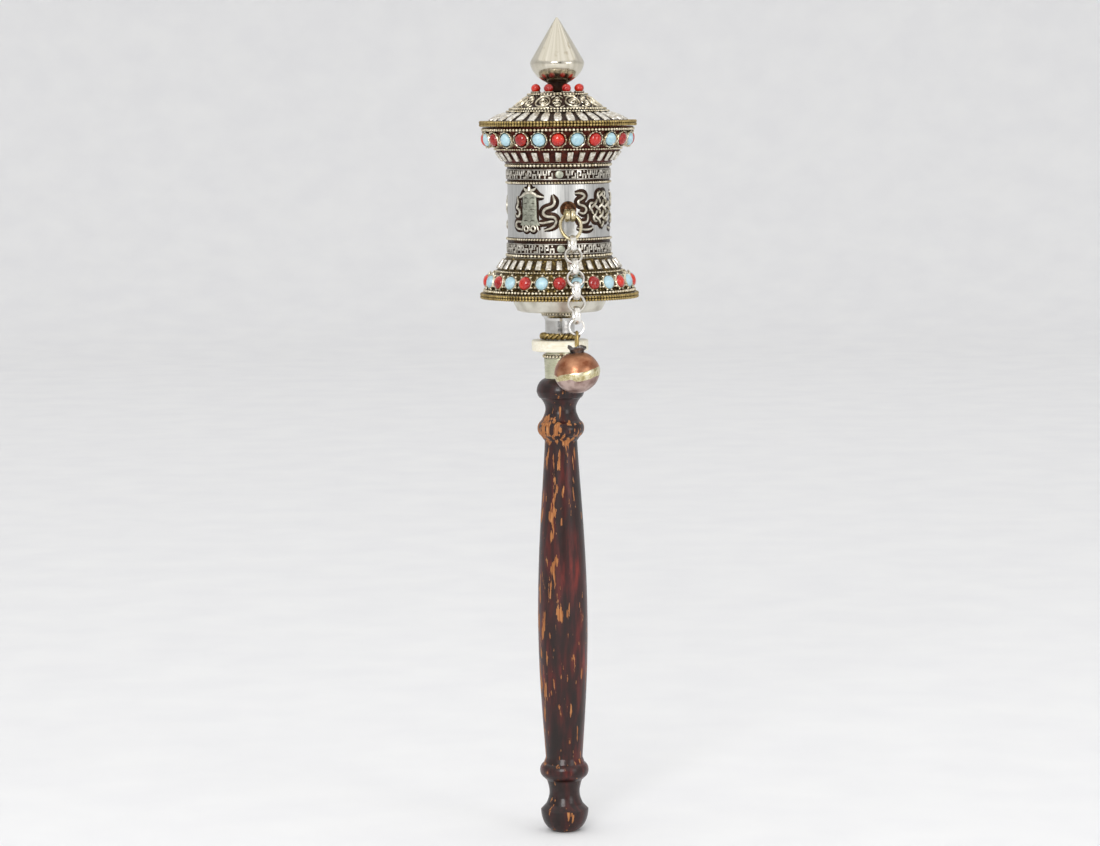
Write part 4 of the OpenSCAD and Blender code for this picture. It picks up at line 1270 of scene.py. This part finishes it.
class Finial(Builder):
    """Spins the hollow finial: a cone over a bowl that draws in to a neck"""
    bl_idname = "prayer_wheel.finial"
    bl_label = "Finial"

    def build(self):
        low, high = box("finial")
        wide, foot, tip = high.x - 0.03, low.z + 0.02, high.z - 0.02
        bowl = [(0.36, 3.2), (0.51, 3.75), (0.7, 5.1), (0.83, 6.5), (0.91, 7.6), (0.975, 9.0), (1.0, 10.1)]
        cone = [(0.985, 10.75), (0.93, 11.7), (0.8, 13.8), (0.6, 17.0), (0.4, 20.2), (0.2, 23.4),
                (0.055, 25.5)]
        outline = [(0, foot + 3.05)]
        outline += [(r * wide, foot + z) for r, z in bowl + cone] + [(0.03 * wide, tip - 0.05), (0, tip)]
        body = turned(outline, 160)
        tall = [e for e in body.edges if abs(e.verts[0].co.z - e.verts[1].co.z) > 0.5]
        bmesh.ops.subdivide_edges(body, edges=tall, cuts=1, smooth=0.0)
        roughened(body, 0.06, 3.5)
        piece("spun_finial", body, made_of(finial_silver), "finial", ("finial",), 25)
        # The neck is nickel silver, but here it is brown-black: painted shade under the bowl, between the
        # corals.
        neck = turned([(1.6, foot), (0.36 * wide, foot), (0.4 * wide, foot + 0.5),
                       (0.33 * wide, foot + 1.2), (0.37 * wide, foot + 3.3), (1.6, foot + 3.3)], 64,
                      closed=True)
        piece("finial_painted_shade", neck, made_of(brown_ground), "finial")


# ---------------------------------------------------------------- hub and ferrule trim

class HubTrim(Builder):
    """Winds the rope ring and the beaded rings of the hub and the ferrule"""
    bl_idname = "prayer_wheel.hub_trim"
    bl_label = "Hub and ferrule trim"

    def build(self):
        low, high = box("rope_ring")
        tall = high.z - low.z
        r = high.x - tall * 0.45
        strands, turns, steps = 2, 11, 14
        rope = bpy.data.curves.new("rope", "CURVE")
        rope.dimensions = "3D"
        rope.bevel_depth = tall * 0.27
        rope.bevel_resolution = 2
        for strand in range(strands):
            spline = rope.splines.new("POLY")
            spline.points.add(turns * steps - 1)
            for i, point in enumerate(spline.points):
                a = math.tau * i / (turns * steps)
                b = turns * a + math.tau * strand / strands
                out = r + tall * 0.25 * math.cos(b)
                height = mid_z("rope_ring") + tall * 0.25 * math.sin(b)
                point.co = (out * math.sin(a), -out * math.cos(a), height, 1)
            spline.use_cyclic_u = True
        piece("hub_rope", from_curve(rope), made_of(twist_brass), "drum", ("rope_ring",))

        r = out_r("hub_bead_ring") - 0.6
        ring = joined(beaded(r, mid_z("hub_bead_ring"), 34, 1.15, 1.15),
                      turned([(r - 0.6, high_z("hub_sleeve") - 1.3),
                              (r + 0.35, high_z("hub_sleeve") - 1.25),
                              (r + 0.35, high_z("hub_sleeve") - 1.45),
                              (r - 0.6, high_z("hub_sleeve") - 1.5)], closed=True))
        piece("hub_beads", ring, made_of(pale_bead), "drum", ("hub_bead_ring",))

        low, high = box("ferrule_bead_ring")
        r = high.x - 0.62
        collar = turned([(r - 0.6, high.z - 0.1), (r + 0.1, high.z - 0.1), (r + 0.1, high.z + 0.12),
                         (r - 0.6, high.z + 0.12)], closed=True)
        ring = joined(beaded(r, (low.z + high.z) / 2, 30, 1.25, 1.2), collar)
        piece("ferrule_beads", ring, made_of(pale_bead), "root", ("ferrule_bead_ring",))


# ---------------------------------------------------------------- lug and chain

def lug_turn():
    """Turn of the lug and chain from the front, in radians."""
    eye = pivot("ring_swing")
    return math.atan2(eye.x, -eye.y)


class Lug(Builder):
    """Rivets the lug with its two eye loops to the cylinder"""
    bl_idname = "prayer_wheel.lug"
    bl_label = "Chain lug"

    def build(self):
        eye = pivot("ring_swing")
        out = math.hypot(eye.x, eye.y)
        r = out_r("drum_shell")
        face = r + 0.02
        boss = turned([(0, 1.55), (0.9, 1.5), (1.7, 1.2), (2.25, 0.7), (2.35, 0.25), (2.75, 0.2),
                       (2.85, 0.0), (2.6, -0.3), (0, -0.3)], 32)
        boss = moved(roughened(boss, 0.1, 1.5), at_front(face, eye.z + 2.0))
        turn = Matrix.Rotation(lug_turn(), 4, "Z")
        piece("lug_boss", moved(boss, turn), made_of(lug_copper), "drum", ("chain_lug",))
        loops = []
        for side in (-1, 1):
            ring = turned(arc(1.8, 0, 0.5, 0.88, 0, 330, 11), 32, closed=True)
            place = Matrix.Translation((side * 0.92, -out, eye.z)) @ Matrix.Rotation(math.pi / 2, 4, "Y")
            loops.append(moved(ring, place))
            neck = block((1.5, 1.5, out - r - 0.5), 0.3, 2)
            loops.append(moved(neck, at_front((out + r) / 2 - 0.55, eye.z + 1.35, 0)
                               @ Matrix.Translation((side * 0.92, 0, 0))))
        loops = roughened(joined(*loops), 0.07, 1.2)
        piece("lug_loops", moved(loops, turn), made_of(ring_wire_metal), "drum")


def hung(upper, lower, face_on, drop):
    """Matrix of a hanging piece drawn about its middle, its axis on +Z and its length on +Y."""
    top = pivot(upper)
    end = pivot(lower)
    down = (end - top).normalized()
    tangent = Vector((math.cos(lug_turn()), math.sin(lug_turn()), 0))
    axis = tangent.cross(down) if face_on else tangent
    across = (-down).cross(axis)
    turn = Matrix((across, -down, axis)).transposed().to_4x4()
    return Matrix.Translation(top + down * drop) @ turn


def wire_oval(half_w, high, low, wire, egg=0.0):
    """A ring of round wire from a height down to a height; an egg is wider above its middle."""
    half_h, middle = (high - low) / 2, (high + low) / 2
    path = []
    for i in range(36):
        t = math.tau * i / 36
        path.append((half_w * math.sin(t) * (1 + egg * math.cos(t)), middle + half_h * math.cos(t)))
    return ribbons([path], wire, wire / 2, closed=True, sides=3, smooth=False)


class Chain(Builder):
    """Hangs the large ring, the links and the two small rings"""
    bl_idname = "prayer_wheel.chain"
    bl_label = "Chain"

    def build(self):
        chain = settings("chain")
        silver, warm = made_of(chain_silver), made_of(ring_wire_metal)
        first = (pivot("link_1_swing") - pivot("ring_swing")).length
        ring = wire_oval(mm(chain.ring_w) / 2, 0.22, -first, mm(chain.ring_wire), 0.1)
        place = hung("ring_swing", "link_1_swing", True, 0)
        piece("large_ring", roughened(moved(ring, place), 0.06, 2.5), warm, "ring",
              ("chain_ring",))
        names = ["link_%d_swing" % k for k in range(1, 8)] + ["thin_ring_swing"]
        radius, wall, band = mm(chain.link_r), mm(chain.link_wall), mm(chain.link_band)
        for k in range(1, 8):
            link = turned(arc(radius, 0, wall / 2, band / 2, 0, 337.5, 15), 44, closed=True)
            upper, lower = names[k - 1], names[k]
            drop = (pivot(lower) - pivot(upper)).length - radius
            link = roughened(link, 0.05, 3.0 + 0.1 * k)
            piece("bright_link_%d" % k, moved(link, hung(upper, lower, k % 2 == 0, drop)), silver,
                  "link_%d" % k, ("chain_link_%d" % k,))
        wire = mm(chain.thin_wire)
        long = (pivot("jump_ring_swing") - pivot("thin_ring_swing")).length
        r = (box("thin_ring")[1].z - box("thin_ring")[0].z) / 2 - wire / 2
        thin = turned(arc(r, 0, wire / 2, wire / 2, 0, 315, 7), 44, closed=True)
        place = hung("thin_ring_swing", "jump_ring_swing", True, long - r)
        piece("thin_wire_ring", roughened(moved(thin, place), 0.05, 2.0), silver, "thin_ring",
              ("thin_ring",))
        wire = mm(chain.jump_wire)
        top = high_z("jump_ring") - pivot("jump_ring_swing").z - wire / 2
        long = (pivot("ball_swing") - pivot("jump_ring_swing")).length
        jump = wire_oval(mm(chain.jump_w) / 2, top, -long, wire)
        place = hung("jump_ring_swing", "ball_swing", False, 0)
        piece("brass_jump_ring", roughened(moved(jump, place), 0.05, 1.6), made_of(twist_brass),
              "jump_ring", ("jump_ring",))


class Weight(Builder):
    """Beats the two copper halves of the ball, its brass seam and its lead collar"""
    bl_idname = "prayer_wheel.weight"
    bl_label = "Weight ball"

    def build(self):
        weight = settings("weight")
        low, high = box("ball_seam")
        middle = Vector(((low.x + high.x) / 2, (low.y + high.y) / 2, (low.z + high.z) / 2 + 0.7))
        rx = (high.x - low.x) / 2 - 0.2
        rz = middle.z - low_z("ball_lower_half") - 0.2
        dents = mm(weight.dents)
        half_seam = mm(weight.seam_h) / 2
        tilt = (Matrix.Translation(middle) @ Matrix.Rotation(lug_turn(), 4, "Z")
                @ Matrix.Rotation(-weight.tilt, 4, "Y"))

        def shell(side, pole):
            edge = 5 if side > 0 else 3
            outer = arc(0, 0, rx, rz, edge, pole, 20)
            inner = arc(0, 0, rx - 0.9, rz - 0.9, pole, edge + 1, 16)
            lip = [(rx + 0.08, 0.35), (rx - 0.02, 0.02)] if side > 0 else []
            points = [(max(r, 0), z) for r, z in inner] + lip[::-1] + outer
            return turned([(r, side * z) for r, z in points], 72, closed=True)

        for side, pole, name, maker, node, slot in (
                (1, 76, "copper_upper_half", copper_cap, "ball_upper_half", "old_copper"),
                (-1, 90, "rose_lower_half", rose_shell, "ball_lower_half", "rose_copper")):
            half = moved(roughened(shell(side, pole), dents, 4.5), tilt)
            piece(name, half, made_of(maker), "ball", (node,))

        def skin(z, over):
            return rx * math.sqrt(1 - (z / rz) ** 2) + over, z

        seam = turned([skin(-1.7 * half_seam, -0.5), skin(-1.55 * half_seam, 0.05),
                       skin(-half_seam, 0.16), skin(-0.3 * half_seam, 0.2), skin(0.25 * half_seam, 0.2),
                       skin(0.5 * half_seam, 0.08), skin(0.55 * half_seam, -0.5)], 120, closed=True)
        for vert in seam.verts:  # the hammered edges wander
            turn = math.atan2(vert.co.y, vert.co.x)
            wander = 0.4 * math.sin(2 * turn + 0.6) + 0.2 * math.sin(5 * turn)
            vert.co.z += wander * (0.9 if vert.co.z < 0 else 0.5)
            drift = noise.noise_vector(vert.co / 3.0)
            vert.co.z += drift.z * 0.16
            vert.co.xy *= 1 - abs(drift.x) * 0.01
        piece("brass_seam", moved(seam, tilt), made_of(beaten_brass), "ball", ("ball_seam",))

        low, high = box("ball_neck")
        tall, r = high.z - low.z, (high.x - low.x) / 2
        neck = turned([(0.3, 0.3), (r * 0.6, 0.15), (r * 0.66, 0.5), (r * 0.62, tall * 0.4),
                       (r * 0.78, tall * 0.66), (r * 0.98, tall * 0.86), (r * 0.96, tall),
                       (r * 0.8, tall * 0.97), (r * 0.6, tall * 0.72), (r * 0.5, tall * 0.4),
                       (0.3, tall * 0.3)], 60, closed=True)
        for vert in neck.verts:  # crimped by hand into uneven folds
            turn = math.atan2(vert.co.y, vert.co.x)
            share = vert.co.z / tall
            vert.co.xy *= 1 + share * (0.09 * math.sin(4 * turn + 0.8) - 0.08)
            vert.co.z -= share ** 2 * 0.9 * (1 + math.sin(3 * turn + 2.2)) / 2
        foot = Vector((middle.x, middle.y, low.z))
        neck = moved(roughened(neck, 0.16, 1.2), Matrix.Translation(foot))
        top = pivot("ball_swing")
        bar = moved(ribbons([[(-2.4, 0), (2.4, 0)]], 0.95, 0.475, smooth=False),
                    Matrix.Translation((top.x, top.y, top.z + 1.05)) @ Matrix.Rotation(lug_turn(), 4, "Z"))
        piece("lead_collar", joined(neck, bar), made_of(lead_collar), "ball", ("ball_neck",))


# ---------------------------------------------------------------- stage

def soft_light(name, place, aim, size, power):
    """A square soft box that faces a point."""
    light = bpy.data.lights.new(name, "AREA")
    light.size = size
    light.energy = power
    obj = bpy.data.objects.new(name, light)
    obj.location = place
    obj.rotation_euler = (Vector(aim) - Vector(place)).to_track_quat("-Z", "Y").to_euler()
    bpy.context.scene.collection.objects.link(obj)


class Stage(Builder):
    """Sets the pale sweep, the soft lights and the camera"""
    bl_idname = "prayer_wheel.stage"
    bl_label = "Studio"

    def build(self):
        stage = settings("stage")
        flat = stage.sweep_r / MM
        sweep = turned([(0, 0), (flat / 2, 0), (flat, 0)] + arc(flat, 700, 700, 700, -80, 0, 16)
                       + [(flat + 700, 2400)], 96)
        bmesh.ops.scale(sweep, vec=(MM, MM, MM), verts=sweep.verts)
        bmesh.ops.reverse_faces(sweep, faces=sweep.faces)
        mesh = bpy.data.meshes.new("sweep")
        sweep.to_mesh(mesh)
        sweep.free()
        mesh.shade_smooth()
        mesh.materials.append(made_of(pale_floor))
        floor = bpy.data.objects.new("sweep", mesh)
        bpy.context.scene.collection.objects.link(floor)

        card = bmesh.new()
        bmesh.ops.create_grid(card, x_segments=1, y_segments=1, size=0.5)
        moved(card, Matrix.Translation((0, -1.6, 0.5)) @ Matrix.Rotation(math.pi / 2, 4, "X"))
        mesh = bpy.data.meshes.new("dark_card")
        card.to_mesh(mesh)
        card.free()
        mesh.materials.append(made_of(black_card))
        flag = bpy.data.objects.new("dark_card", mesh)
        flag.visible_camera = False
        bpy.context.scene.collection.objects.link(flag)

        world = bpy.data.worlds.new("Studio")
        world.use_nodes = True
        world.node_tree.nodes["Background"].inputs[0].default_value = (1, 1, 1, 1)
        world.node_tree.nodes["Background"].inputs[1].default_value = stage.sky
        bpy.context.scene.world = world
        aim = (0, 0, 0.17)
        soft_light("Key", (-0.25, -1.2, 0.62), aim, 0.5, 9)
        soft_light("Fill", (0.95, -0.85, 0.4), aim, 0.5, 3)

        camera = bpy.data.cameras.new("Camera")
        camera.sensor_width = 36
        camera.lens = stage.lens
        camera.clip_start = 0.01
        view = bpy.data.objects.new("Camera", camera)
        view.location = (-stage.aside, -stage.distance, stage.height)
        view.rotation_euler = (math.pi / 2 - stage.pitch, stage.roll, 0)
        bpy.context.scene.collection.objects.link(view)
        bpy.context.scene.camera = view
        bpy.context.scene.view_settings.view_transform = "Standard"


# ---------------------------------------------------------------- add-on

STEPS = (DressSolids, Rims, BeadRings, Frets, Ribs, Stones, Symbols, RoofOrnament, Finial, HubTrim, Lug,
         Chain, Weight, Stage)


class Sidebar(bpy.types.Panel):
    """Building steps and sizes"""
    bl_idname = "VIEW3D_PT_prayer_wheel"
    bl_label = "Prayer Wheel"
    bl_space_type = "VIEW_3D"
    bl_region_type = "UI"
    bl_category = "Prayer Wheel"

    def draw(self, context):
        for step in STEPS:
            self.layout.operator(step.bl_idname)
        for group in GROUPS:
            values = settings(group)
            area = self.layout.box()
            area.label(text=group.capitalize())
            for key in values.__annotations__:
                area.prop(values, key)


def register():
    for group, kind in GROUPS.items():
        bpy.utils.register_class(kind)
        setattr(bpy.types.Scene, "prayer_wheel_" + group, PointerProperty(type=kind))
    for step in STEPS:
        bpy.utils.register_class(step)
    bpy.utils.register_class(Sidebar)


def unregister():
    bpy.utils.unregister_class(Sidebar)
    for step in reversed(STEPS):
        bpy.utils.unregister_class(step)
    for group, kind in GROUPS.items():
        delattr(bpy.types.Scene, "prayer_wheel_" + group)
        bpy.utils.unregister_class(kind)


def main():
    register()
    for step in STEPS:
        area, name = step.bl_idname.split(".")
        getattr(getattr(bpy.ops, area), name)()


if __name__ == "__main__":
    main()
